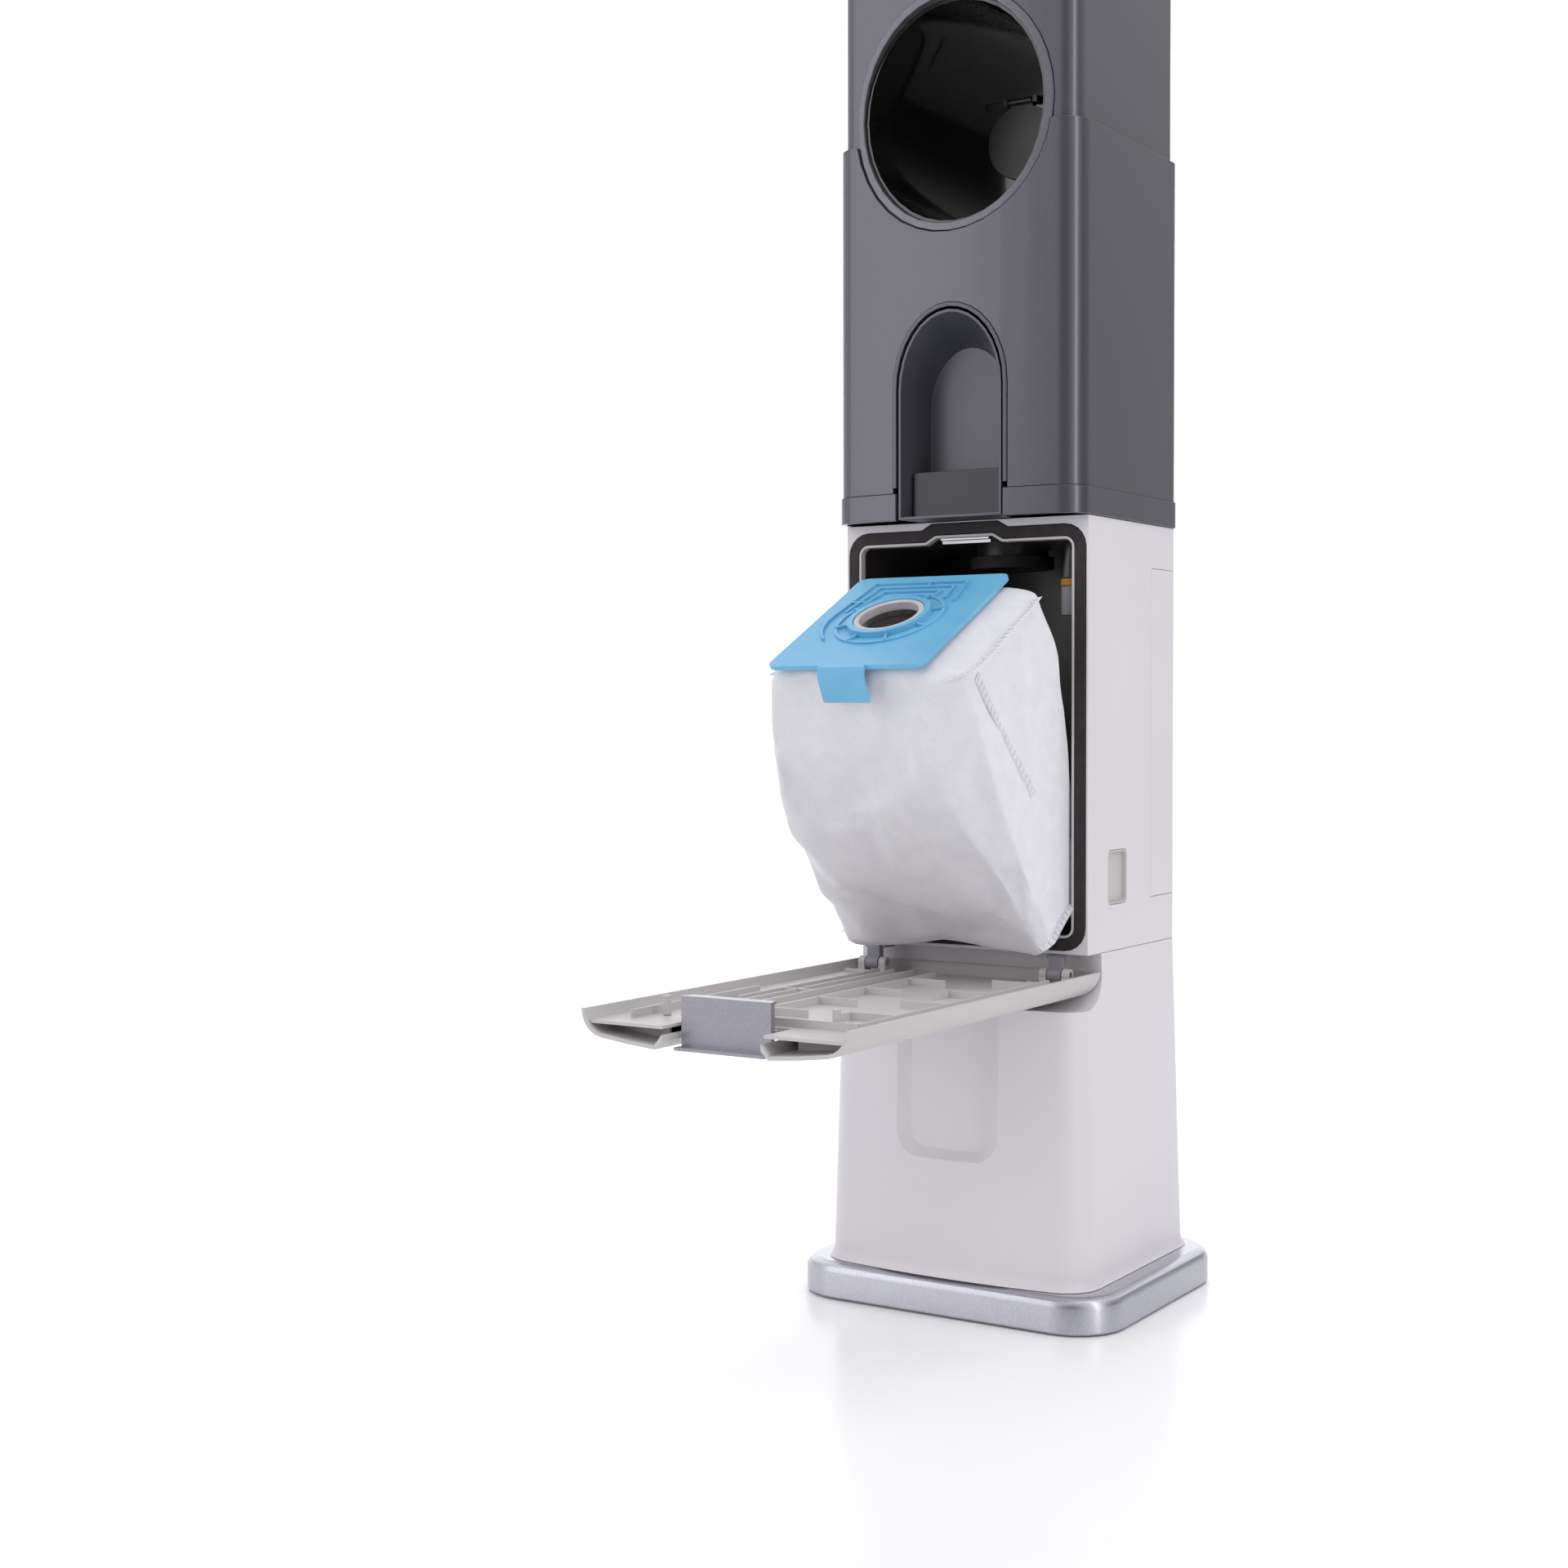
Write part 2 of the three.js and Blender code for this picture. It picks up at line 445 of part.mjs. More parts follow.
// -------------------------------------------------- spigot and sealed filter
{
  const c = [0, PLATE_YC];
  add('inlet_spigot', cut(join([rod('z', SPIGOT_R, SPIGOT_Z + 3, Z_COVER + 20, c, 32),
    ]), rod('z', SPIGOT_R - 3, 0, 900, c, 32)), BLACK);
  add('spigot_seal', cut(rod('z', SPIGOT_R + 4, SPIGOT_Z, SPIGOT_Z + 9, c, 32),
    rod('z', SPIGOT_R + GAP, SPIGOT_Z + 3 - GAP, 700, c, 32), rod('z', SPIGOT_R - 4, 0, 700, c, 32)), RUBBER);
  const f = [GATE_HALF - 19.2, FRAME_Y + 18.5], top = GATE_Z1 - RIB_OUT - LINER_WALL - GAP;
  const r = 7.5, neck = 5;
  add('filter_cartridge', join([rod('z', r, 484, 503.7, f, 20), rod('z', neck, 503, 510, f, 20)]), GREY);
  add('filter_seal', cut(rod('z', r + 0.4, 504, 509, f, 20), rod('z', neck + GAP, 490, 520, f, 20)), AMBER);
  add('filter_holder', cut(rod('z', r + 0.2, 509.3, top, f, 20, r - 3.5), rod('z', neck + GAP, 500, 515, f, 20)), BLACK);
}

// ------------------------------------------------------------------- hinges
// Brackets hang from the frame's underside; each carries a pin for the door's ears.
for (const s of [1, -1]) {
  const side = s > 0 ? 'R' : 'L', x = s * HINGE_X, h = KNUCKLE_L / 2;
  const zTop = Z_SEAM + GAP / 2 - GAP;
  const arm = join([rod('x', KNUCKLE_R, x - h, x + h, [HINGE_Y, HINGE_Z], 20),
    box(x - h, x + h, HINGE_Y - 1.4, HINGE_Y + KNUCKLE_R, HINGE_Z, zTop - 1),
    box(x - h - 3, x + h + 3, HINGE_Y + 1.5, HINGE_Y + 16, zTop - 3, zTop)]);
  add(`hinge_bracket_${side}`, cut(arm, rod('x', PIN_R + GAP, x - 40, x + 40, [HINGE_Y, HINGE_Z], 20)), GREY);
  add(`hinge_pin_${side}`, rod('x', PIN_R, x - h - 6, x + h + 6, [HINGE_Y, HINGE_Z], 20), STEEL);
}

// --------------------------------------------------------------------- door
// Modelled shut, then laid open a quarter turn about the hinge axis.
const door = swung(HINGE_Y, HINGE_Z, 90);
const rimY = FRAME_Y - 1;                       // the door's rim plane when shut
{
  const zLow = HINGE_Z - NOSE_R, clip = ahead(rimY);
  // rounded hinge end: everything above the axis plus a drum of the nose radius
  const noseForm = (r) => join([box(-FAR, FAR, -FAR, FAR, HINGE_Z, 900), rod('x', r, -FAR, FAR, [HINGE_Y, HINGE_Z], 40)]);
  const channel = (grow) => {
    const yOut = -(BODY_D / 2 + BOW + 5), yIn = -(BODY_D / 2 + BOW) + CHAN_DEPTH + grow;
    const k = (CHAN_OUT - CHAN_IN) / CHAN_DEPTH * 5;
    const a = CHAN_OUT + grow * 0.8, b = CHAN_IN + grow * 0.8;
    return prismZ([[-a - k, yOut], [a + k, yOut], [b, yIn], [-b, yIn]], zLow - 5, 900);
  };
  const hull = cut(prismZ(plan(0), zLow, DOOR_END).intersect(clip).intersect(noseForm(NOSE_R)), channel(0));
  const hollow = cut(prismZ(plan(DOOR_SKIN), zLow, DOOR_END + 5).intersect(noseForm(NOSE_R - DOOR_SKIN)), channel(DOOR_SKIN));
  // closed walls across both lobes a little inside the free end
  const walls = [1, -1].map((s) => box(s > 0 ? 46 : -BODY_W / 2 + 1, s > 0 ? BODY_W / 2 - 1 : -46,
    -FAR, rimY - 9.2, DOOR_END - 26, DOOR_END - 23.5).intersect(prismZ(plan(1), 0, 900)));
  // the middle stops short to make room for the latch lever
  const latchBay = box(-35, 35, -FAR, FAR, DOOR_END - 26, DOOR_END + 5);
  // pockets for the hinge brackets
  const pockets = [1, -1].map((s) => box(s * HINGE_X - 13, s * HINGE_X + 13, HINGE_Y - KNUCKLE_R - 1, FAR,
    HINGE_Z - KNUCKLE_R - 1, HINGE_Z + KNUCKLE_R + 12));
  let shell = cut(hull, hollow);
  shell = join([shell, ...walls]);
  shell = cut(shell, latchBay, ...pockets);
  add('door_outer_shell', shell, WARM, door);

  // ribbed inner panel with the two hinge ears on each side
  const pan0 = rimY - 8.8, pan1 = rimY - 6.8, half = BODY_W / 2 - DOOR_SKIN - GAP;
  const parts = [box(-half, half, pan0, pan1, HINGE_Z - 8, DOOR_END - 2)];
  const ribTop = rimY - 1.6, ribW = 1.6, zFree = DOOR_END - 38;
  const rib = (x0, x1, z0, z1) => box(x0, x1, pan1 - 0.5, ribTop, z0, z1);
  const alongZ = (x, z0, z1) => parts.push(rib(x - ribW / 2, x + ribW / 2, z0, z1));
  const acrossX = (x0, x1, z) => parts.push(rib(x0, x1, z - ribW / 2, z + ribW / 2));
  alongZ(-54, HINGE_Z + 24, DOOR_END - 110);
  alongZ(-42, HINGE_Z + 24, DOOR_END - 84);
  alongZ(-29, HINGE_Z + 20, zFree);
  for (const x of [-9, 78]) alongZ(x, HINGE_Z + 24, zFree);
  alongZ(-72, HINGE_Z + 150, DOOR_END - 20);
  acrossX(-54, -29, HINGE_Z + 150);
  acrossX(-72, -29, DOOR_END - 84);
  acrossX(-9, 78, zFree);
  for (let i = 0; i < 4; i++) {
    acrossX(-9, 20, HINGE_Z + 62 + i * 58);              // short ribs off the middle rib
    acrossX(46, 78, HINGE_Z + 44 + i * 62);              // hooked ribs off the side rib
    if (i % 2) alongZ(46, HINGE_Z + 44 + i * 62, HINGE_Z + 58 + i * 62);
  }
  let panel = join(parts);
  const bay = box(-36, 36, -FAR, FAR, DOOR_END - 32, DOOR_END + 5);
  const clear = [1, -1].map((s) => box(s * HINGE_X - 13, s * HINGE_X + 13, HINGE_Y - KNUCKLE_R - 1, FAR,
    HINGE_Z - 20, HINGE_Z + KNUCKLE_R + 12));
  panel = cut(panel, bay, ...clear);
  const ears = [];
  for (const s of [1, -1]) {
    for (const e of [1, -1]) {
      const x = s * HINGE_X + e * (KNUCKLE_L / 2 + 3.4);
      ears.push(join([rod('x', KNUCKLE_R - 0.4, x - 2.6, x + 2.6, [HINGE_Y, HINGE_Z], 20),
        box(x - 2.6, x + 2.6, HINGE_Y - 9, HINGE_Y - 2, HINGE_Z - 4.2, HINGE_Z + 4.2)]));
    }
    // web between the ears and the panel, behind the bracket's knuckle
    ears.push(box(s * HINGE_X - 12.6, s * HINGE_X + 12.6, rimY - 9, rimY - 6.4, HINGE_Z - 7.8, HINGE_Z + 20));
    ears.push(box(s * HINGE_X - 12.6, s * HINGE_X + 12.6, rimY - 9, rimY - 4, HINGE_Z + 17.6, HINGE_Z + 20));
  }
  panel = cut(join([panel, ...ears]), rod('x', PIN_R + 0.08, -FAR, FAR, [HINGE_Y, HINGE_Z], 20))
    .intersect(prismZ(plan(DOOR_SKIN + GAP), 0, 900));
  add('door_inner_panel', panel, WARM, door);

  // locating pegs that steady the shut door in the opening
  for (const s of [1, -1]) {
    const c = [s * 61, DOOR_END - 42];
    add(s > 0 ? 'door_peg_R' : 'door_peg_L', rod('y', 2.6, pan1 + GAP, rimY + 5.5, c, 12), WARM, door);
  }

  // latch lever: an upright plate with a folded lip, on a pin between the lobes
  const zl = DOOR_END - 20;
  const lever = join([box(-32, 32, rimY - 22, rimY + 10, zl, zl + 4),
    box(-32, 32, rimY - 22, rimY - 20, zl + 3, zl + 12),
    box(-30, 30, rimY + 8, rimY + 10, zl - 5, zl + 1),
    box(-10, 10, rimY - 11.5, rimY - 4.5, zl - 4.5, zl + 1)]);
  add('latch_lever', cut(lever, rod('x', 1.6, -40, 40, [rimY - 8, zl - 1.4], 16)), SILVER, door);
  add('latch_pin', rod('x', 1.5, -33.5, 33.5, [rimY - 8, zl - 1.4], 16), STEEL, door);
}

// ---------------------------------------------------------------------- bag
// Modelled home in the compartment, then leaned out of the opening.
const bag = swung(BAG_POLE_Y, BAG_POLE_Z, BAG_TILT);
{
  const w = PLATE_W / 2, y0 = PLATE_Y0, y1 = PLATE_Y1, yc = PLATE_YC, z = PLATE_Z, t = PLATE_T;
  const parts = [prismZ(roundRect(-w, w, y0, y1, 7, 4), z, z + t),
    cut(rod('z', COLLAR_R, z + t - 0.5, z + t + 1.2, [0, yc], 32), rod('z', COLLAR_R - 2.4, 0, 900, [0, yc], 32)),
    cut(rod('z', HOLE_R + 4, z + t - 0.5, z + t + COLLAR_H, [0, yc], 32), rod('z', HOLE_R, 0, 900, [0, yc], 32))];
  // stiffening ribs: radial webs round the collar and nested trapezoids behind it
  for (let i = 0; i < 8; i++) {
    const a = rad(22.5 + i * 45);
    const web = new THREE.BoxGeometry(COLLAR_R - HOLE_R - 3, 1.6, 3).translate((COLLAR_R + HOLE_R) / 2 + 0.8, 0, 0)
      .rotateZ(a).translate(0, yc, z + t + 0.5);
    parts.push(solid(web));
  }
  // three nested ribs behind the hole that run into the collar, the outer one carried
  // on round the collar's left side, with short webs between them
  const ribbed = [];
  const strip = (pts) => {
    for (let i = 0; i + 1 < pts.length; i++) {
      const [ax, ay] = pts[i], [bx, by] = pts[i + 1], h = 0.8;
      const len = Math.hypot(bx - ax, by - ay), ux = (bx - ax) / len * h, uy = (by - ay) / len * h;
      ribbed.push(prismZ([[ax - ux + uy, ay - uy - ux], [bx + ux + uy, by + uy - ux],
        [bx + ux - uy, by + uy + ux], [ax - ux - uy, ay - uy + ux]], z + t - 0.5, z + t + 1.8));
    }
  };
  const yr = y1 - 13;                            // the outer rib's line across the back
  for (let k = 0; k < 3; k++) {
    const i = k * 7;
    strip([[-COLLAR_R - 8 + i, yc + 4 + i], [-COLLAR_R - 1 + i, yr - i], [32 - i, yr - i], [36 - i * 1.3, yc + 26 + i * 0.6]]);
  }
  strip(arc(0, yc, COLLAR_R + 8, 172, 222, 7));
  strip([[-COLLAR_R - 4, yc + 26], [-COLLAR_R + 5, yc + 26]]);
  strip([[4, yr], [4, yr - 7]]);
  parts.push(cut(join(ribbed), rod('z', COLLAR_R - 1, z, z + t + 5, [0, yc], 32)));
  // folded pull tab at the front edge
  parts.push(prismX([[y0 + 2, z], [y0 + 2, z + t], [y0 - 2.4, z + t], [y0 - 5.6, z - 4], [y0 - 5.6, z - 20],
    [y0 - 3.6, z - 22], [y0 - 3.6, z - 5], [y0 - 1.4, z]], -17, 17));
  const plate = cut(join(parts), rod('z', HOLE_R, z - 5, z + 50, [0, yc], 32));
  add('bag_plate', plate, BLUE, bag);
  add('bag_seal_ring', cut(rod('z', HOLE_R - GAP, z + 0.4, z + t + COLLAR_H - 0.6, [0, yc], 32),
    rod('z', HOLE_R - 4.2, 0, 900, [0, yc], 32)), RUBBER, bag);

  // body, from the bottom fold up to the plate: each section's front edge behind the
  // plate's front, its height there, its back edge ahead of the plate's back, its
  // height there, and how much narrower it is than the widest section
  const secs = [[42, 274, 62, 279, 4], [38, 285, 52, 290, 0], [22, 325, 32, 332, 0], [7, 378, 14, 384, 2],
    [-1.5, 425, 4, 425, 5], [-2, 462, 1, 462, 12], [1, 488, 1, 488, 20], [4, z - GAP, 4, z - GAP, 25]];
  const rings = secs.map(([a, za, b, zb, slim]) => {
    const ya = y0 + a, yb = y1 - b, hw = BAG_HALF - slim;
    const len = Math.hypot(yb - ya, zb - za), uy = (yb - ya) / len, uz = (zb - za) / len;
    const r = Math.min(12, len * 0.3);
    return roundRect(-hw, hw, 0, len, r, 3).map(([x, s]) => [x, ya + uy * s, za + uz * s]);
  });
  let body = solid(loft(rings, (p) => [p[0], p[1]]));
  body = cut(body, rod('z', HOLE_R - 4.2, z - 90, z + 5, [0, yc], 24));
  add('bag_body', body, CLOTH, bag);
}

// -------------------------------------------------------------- dark covers
const nicheFront = (g) => arch(NICHE_HALF + g, Z_COVER - 20, NICHE_SPRING, NICHE_RISE + g);
{
  const z0 = Z_COVER + BAND_H + GAP / 2, split = FRAME_Y;
  const tube = (i0, i1, za, zb) => cut(prismZ(plan(i0), za, zb), prismZ(plan(i1), za - 5, zb + 5));
  const scallop = prismY(ellipse(0, DOCK_Z, DOCK_RX + RING_W + 0.6, DOCK_RZ + RING_W + 0.6, 36), -FAR, 0);
  add('upper_front_cover', cut(tube(0, 3, z0, Z_SLEEVE).intersect(ahead(split - GAP / 2)),
    prismY(nicheFront(BEAD_W + GAP), -FAR, 0), scallop), GRAPHITE);
  add('upper_rear_cover', tube(0, 3, z0, Z_SLEEVE).intersect(behind(split + GAP / 2)), GRAPHITE);
  // trim band, open where the niche runs through it
  add('lower_trim_band', cut(tube(-1.2, 2.7, Z_COVER + GAP / 2, Z_COVER + BAND_H - GAP / 2),
    box(-NICHE_HALF - GAP, NICHE_HALF + GAP, -FAR, -50, 500, 600)), GRAPHITE);
  // niche: tapered arch pocket
  const zb = Z_COVER + GAP;
  const outline = (half, spring, rise, i) => arch(half - i, zb + i, spring, rise - i);
  const yFront = -(BODY_D / 2 + BOW + 2);
  const outer = loftY([[outline(NICHE_HALF - GAP, NICHE_SPRING, NICHE_RISE, GAP), yFront],
    [outline(NICHE_IN_HALF, NICHE_IN_SPRING, NICHE_IN_RISE, 0), NICHE_Y]]);
  const inner = loftY([[outline(NICHE_HALF - GAP, NICHE_SPRING, NICHE_RISE, 2 + GAP), yFront - 0.01],
    [outline(NICHE_IN_HALF, NICHE_IN_SPRING, NICHE_IN_RISE, 2), NICHE_Y - 2]]);
  const slot = box(-NICHE_IN_HALF + 4, NICHE_IN_HALF - 4, NICHE_Y - 1, NICHE_Y + 2, 588.5, 591);
  add('niche_liner', cut(outer, inner, slot).intersect(prismZ(plan(0.2), 0, 1200)), GRAPHITE);
  add('niche_lower_block', prismZ([[-34, NICHE_Y - 23], [34, NICHE_Y - 23],
    [29.5, NICHE_Y - 2 - GAP], [-29.5, NICHE_Y - 2 - GAP]],
    zb + 2 + GAP, 585), GLOSS);
  const bead = cut(prismY(nicheFront(BEAD_W), -FAR, 0), prismY(nicheFront(0.1), -FAR - 5, 5))
    .intersect(cut(prismZ(plan(-BEAD_PROUD), Z_COVER + BAND_H + 4, 800), prismZ(plan(2.6), 0, 1200))).intersect(ahead(-70));
  add('niche_bead', bead, GRAPHITE);

  // head: set in from the sleeve, with the dock opening in its front
  const zh = DOCK_Z - DOCK_RZ - RING_W - 8, h = HEAD_STEP;
  const mouth = prismY(ellipse(0, DOCK_Z, DOCK_RX + RING_W, DOCK_RZ + RING_W, 36), -FAR, 0);
  add('head_front_cover', cut(tube(h, h + 3, zh, Z_HEAD).intersect(ahead(split - GAP / 2)), mouth), GRAPHITE);
  add('head_rear_cover', tube(h, h + 3, zh, Z_HEAD).intersect(behind(split + GAP / 2)), GRAPHITE);
  const ringFront = -(BODY_D / 2 + BOW) + h - 2;
  add('dock_ring', cut(prismY(ellipse(0, DOCK_Z, DOCK_RX + RING_W - GAP, DOCK_RZ + RING_W - GAP, 36), ringFront, -72),
    prismY(ellipse(0, DOCK_Z, DOCK_RX, DOCK_RZ, 36), -FAR, 0)).intersect(prismZ(plan(h - 1.6), 0, 1200)), SILVER);
  // socket cup behind the ring, with a port in its back wall
  add('dock_socket', cut(prismY(ellipse(0, DOCK_Z, DOCK_RX - GAP, DOCK_RZ - GAP, 36), -84, DOCK_BACK),
    prismY(ellipse(0, DOCK_Z, DOCK_RX - GAP - 2.4, DOCK_RZ - GAP - 2.4, 36), -FAR, DOCK_BACK - 3),
    rod('y', PORT_R, 0, 60, [0, DOCK_Z], 24),
    box(-30, 30, DOCK_BACK - 4, DOCK_BACK - 1.4, DOCK_Z + PORT_R + 2, DOCK_Z + PORT_R + 8)), GLOSS);
}

// ------------------------------------------------- flap, duct, top and button
{
  const yB = DOCK_BACK - 3, zt = DOCK_Z + PORT_R + 5;
  add('inlet_flap', join([rod('y', PORT_R + 3, yB - 2.8, yB - GAP, [0, DOCK_Z], 24),
    box(-9, 9, yB - 2.8, yB - GAP, DOCK_Z + 15, zt - 1), rod('x', 2.4, -9, 9, [yB - 3.4, zt], 12)])
    .subtract(rod('x', 1.3, -20, 20, [yB - 3.4, zt], 12)), BLACK);
  const ear = (s) => box(s * 12 - 1.8, s * 12 + 1.8, yB - 5.6, yB - GAP, zt - 2.2, zt + 3);
  add('flap_pivot', join([ear(1), ear(-1), rod('x', 1.0, -13, 13, [yB - 3.4, zt], 12)]), STEEL);
  // waste duct from the socket's port down to the spigot
  const path = new THREE.CatmullRomCurve3([[0, DOCK_BACK + GAP, DOCK_Z], [0, DOCK_BACK + 16, DOCK_Z - 4],
    [0, DOCK_BACK + 28, DOCK_Z - 30], [0, DOCK_BACK + 27, 700], [0, PLATE_YC + 27, 640],
    [0, PLATE_YC + 2, 596], [0, PLATE_YC, Z_COVER + 20 + GAP]].map((p) => new THREE.Vector3(...p)), false, 'catmullrom', 0.5);
  const circle = (r) => new THREE.Shape(vecs(arc(0, 0, r, 0, 330, 11)));
  const pipe = (r, steps) => solid(new THREE.ExtrudeGeometry(circle(r), { steps, extrudePath: path, bevelEnabled: false }));
  const keep = cut(box(-50, 50, -50, 80, Z_COVER + 20 + GAP, 900), box(-60, 60, -60, DOCK_BACK + GAP, 740, 900));
  add('waste_duct', cut(pipe(24, 14), pipe(21.5, 14)).intersect(keep), BLACK);

  const h = HEAD_STEP, z0 = Z_HEAD + GAP, z1 = Z_HEAD + CAP_H;
  const shell = loftZ([[plan(h), z0], [plan(h), z1 - 12], [plan(h + 2.5), z1 - 6], [plan(h + 7), z1 - 2], [plan(h + 12), z1]]);
  const hollow = loftZ([[plan(h + 3), z0 - 5], [plan(h + 3), z1 - 13], [plan(h + 15), z1 - 4]]);
  const well = rod('z', 16, z1 - 10, z1 + 5, [0, -50], 32);
  add('top_cap', cut(shell, hollow, well), GRAPHITE);
  add('start_button', join([rod('z', 16 - GAP, z1 - 3.5, z1 + 1.5, [0, -50], 32),
    rod('z', 19, z1 - 7.5, z1 - 4.6, [0, -50], 32), rod('z', 12, z1 - 5, z1 - 3, [0, -50], 32)]), SILVER);
}

export default group;
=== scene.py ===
# %% [markdown]
# # A suction waste tower with its bag compartment open
# The object is a slim free-standing column: a white moulded housing on a silver plinth, dark
# covers above it, and a drop-down door in front of a compartment that holds a white fabric
# dust bag on a blue plate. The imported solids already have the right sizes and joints, so this
# notebook loads them as a fixed frame, gives every surface its real finish, rounds the moulded
# edges, and makes the soft and small pieces that solids can't show.

# %% Load the frame
import math

import bpy
import numpy as np
from mathutils import Matrix, Vector, noise


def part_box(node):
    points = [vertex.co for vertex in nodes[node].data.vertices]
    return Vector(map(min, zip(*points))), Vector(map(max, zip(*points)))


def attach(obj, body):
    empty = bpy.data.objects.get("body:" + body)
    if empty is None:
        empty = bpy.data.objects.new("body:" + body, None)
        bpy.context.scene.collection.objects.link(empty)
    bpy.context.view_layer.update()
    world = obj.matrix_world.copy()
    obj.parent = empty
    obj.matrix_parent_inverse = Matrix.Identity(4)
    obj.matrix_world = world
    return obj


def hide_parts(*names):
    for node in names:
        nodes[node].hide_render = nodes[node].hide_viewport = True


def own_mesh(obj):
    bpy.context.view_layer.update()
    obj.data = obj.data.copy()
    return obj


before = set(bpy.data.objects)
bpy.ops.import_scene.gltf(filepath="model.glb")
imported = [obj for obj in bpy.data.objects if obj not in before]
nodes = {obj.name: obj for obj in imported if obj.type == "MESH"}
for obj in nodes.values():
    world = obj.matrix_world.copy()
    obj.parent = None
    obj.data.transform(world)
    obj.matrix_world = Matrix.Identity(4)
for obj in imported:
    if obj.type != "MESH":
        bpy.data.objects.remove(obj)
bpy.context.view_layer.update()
MM = 0.001

# %% [markdown]
# ## The camera
# A product camera stands a little above the door's height, to the right of the column, and
# looks down very slightly. A 51 mm lens keeps the column's sides almost parallel. The
# camera's axes are worked out from its heading, pitch and roll, as on a tripod head.

# %% Camera
HEADING, PITCH, ROLL = (math.radians(a) for a in (32.74, 1.875, -0.125))
STAND = Vector((0.7389, -1.4514, 0.4188))

forward = Vector((-math.sin(HEADING) * math.cos(PITCH), math.cos(HEADING) * math.cos(PITCH), 0))
forward.z = -math.sin(PITCH)
level = Vector((math.cos(HEADING), math.sin(HEADING), 0))
upright = level.cross(forward)
right = level * math.cos(ROLL) + upright * math.sin(ROLL)
top = upright * math.cos(ROLL) - level * math.sin(ROLL)

camera = bpy.data.objects.new("camera", bpy.data.cameras.new("camera"))
camera.data.lens = 51.3
camera.data.sensor_width = 36
bpy.context.scene.collection.objects.link(camera)
camera.matrix_world = Matrix((right, top, -forward)).transposed().to_4x4()
camera.location = STAND
bpy.context.scene.camera = camera
print("camera at", tuple(camera.location), "looking", tuple(forward))

# %% [markdown]
# ## The studio
# The column stands on a pale seamless sweep: one sheet that is the floor and then curves up
# into the wall. Its slight gloss gives the faint reflection under the plinth. Dark satin
# plastic shows its shape only by what it reflects, so a broad soft panel stands to the
# front left, where the front face mirrors it, and a narrow one to the right, which draws the
# bright line down the round corner. A dim panel behind lights the side, one overhead lights
# the door and the bag plate, and one behind the column faces away from it and washes the
# wall white. The world gives a pale fill, with three darker patches that the satin mirrors.

# %% Lights and the sweep
def panel(name, turn, height, distance, wide, tall, watts, aim=(0, 0, 0.5)):
    """A soft rectangular light, turn degrees round the object from the front towards +X."""
    lamp = bpy.data.lights.new(name, "AREA")
    lamp.shape = "RECTANGLE"
    lamp.size, lamp.size_y, lamp.energy = wide, tall, watts
    made = bpy.data.objects.new(name, lamp)
    a = math.radians(turn)
    made.location = (distance * math.sin(a), -distance * math.cos(a), height)
    made.rotation_euler = (made.location - Vector(aim)).to_track_quat("Z", "Y").to_euler()
    bpy.context.scene.collection.objects.link(made)
    return made


panel("soft_panel_left", -36, 1.1, 2.4, 1.5, 1.9, 9)
panel("strip_right", 74, 0.9, 1.9, 0.22, 1.9, 6)
panel("soft_panel_back", 150, 1.2, 2.6, 1.4, 1.8, 1.5)
panel("soft_panel_top", 60, 2.6, 0.9, 1.2, 1.2, 8)
panel("wall_wash", 213, 3.2, 1.2, 3.0, 1.0, 130, aim=(-2.6, 4.2, 1.2))
print("five soft panels")

# %% [markdown]
# ## Tools for finishes
# Colours are written as sRGB hex values, because that is how a colour looks on a screen, and
# one function turns them into the linear numbers that the renderer works in. Another adds a
# node, sets it up and joins what feeds it, so that each finish below reads as a list of what
# is on the surface. Patterns are laid out in metres of the object itself: a noise whose grain
# is g metres wide has the scale 1/g.

# %% Colour and node helpers
def srgb(code):
    """Linear RGBA of an sRGB hex colour such as "#e2dde2"."""
    parts = [int(code[i : i + 2], 16) / 255 for i in (1, 3, 5)]
    return tuple(c / 12.92 if c <= 0.04045 else ((c + 0.055) / 1.055) ** 2.4 for c in parts) + (1.0,)


def put(tree, kind, feeds=(), **settings):
    """Adds a node with its settings; feeds joins or sets its inputs by name or number."""
    made = tree.nodes.new("ShaderNode" + kind)
    for name, value in settings.items():
        setattr(made, name, value)
    for name, value in dict(feeds).items():
        if isinstance(value, bpy.types.NodeSocket):
            tree.links.new(value, made.inputs[name])
        else:
            made.inputs[name].default_value = value
    return made


def finish(name, **shader):
    """A new material: its node tree and its main shader, with the shader's own numbers set."""
    made = bpy.data.materials.new(name)
    made.use_nodes = True
    shade = made.node_tree.nodes["Principled BSDF"]
    for socket, value in shader.items():
        shade.inputs[socket.replace("_", " ")].default_value = value
    return made, made.node_tree, shade


def grain(tree, size, detail=2.0, where=None, stretch=(1, 1, 1)):
    """A noise with grains of that size in metres, stretched along the object's axes."""
    where = where or put(tree, "TexCoord").outputs["Object"]
    placed = put(tree, "Mapping", {"Vector": where, "Scale": stretch}).outputs[0]
    return put(tree, "TexNoise", {"Vector": placed, "Scale": 1 / size, "Detail": detail}).outputs["Fac"]


def between(tree, factor, low, high, start=0.0, end=1.0):
    """A number that runs from low to high as factor runs from start to end."""
    return put(tree, "MapRange", {0: factor, 1: start, 2: end, 3: low, 4: high}).outputs[0]


def two_tones(tree, factor, first, second, start=0.3, end=0.7):
    """A colour that drifts from one hex colour to another as factor runs from start to end."""
    share = between(tree, factor, 0.0, 1.0, start, end)
    return put(tree, "Mix", {0: share, 6: srgb(first), 7: srgb(second)}, data_type="RGBA").outputs[2]


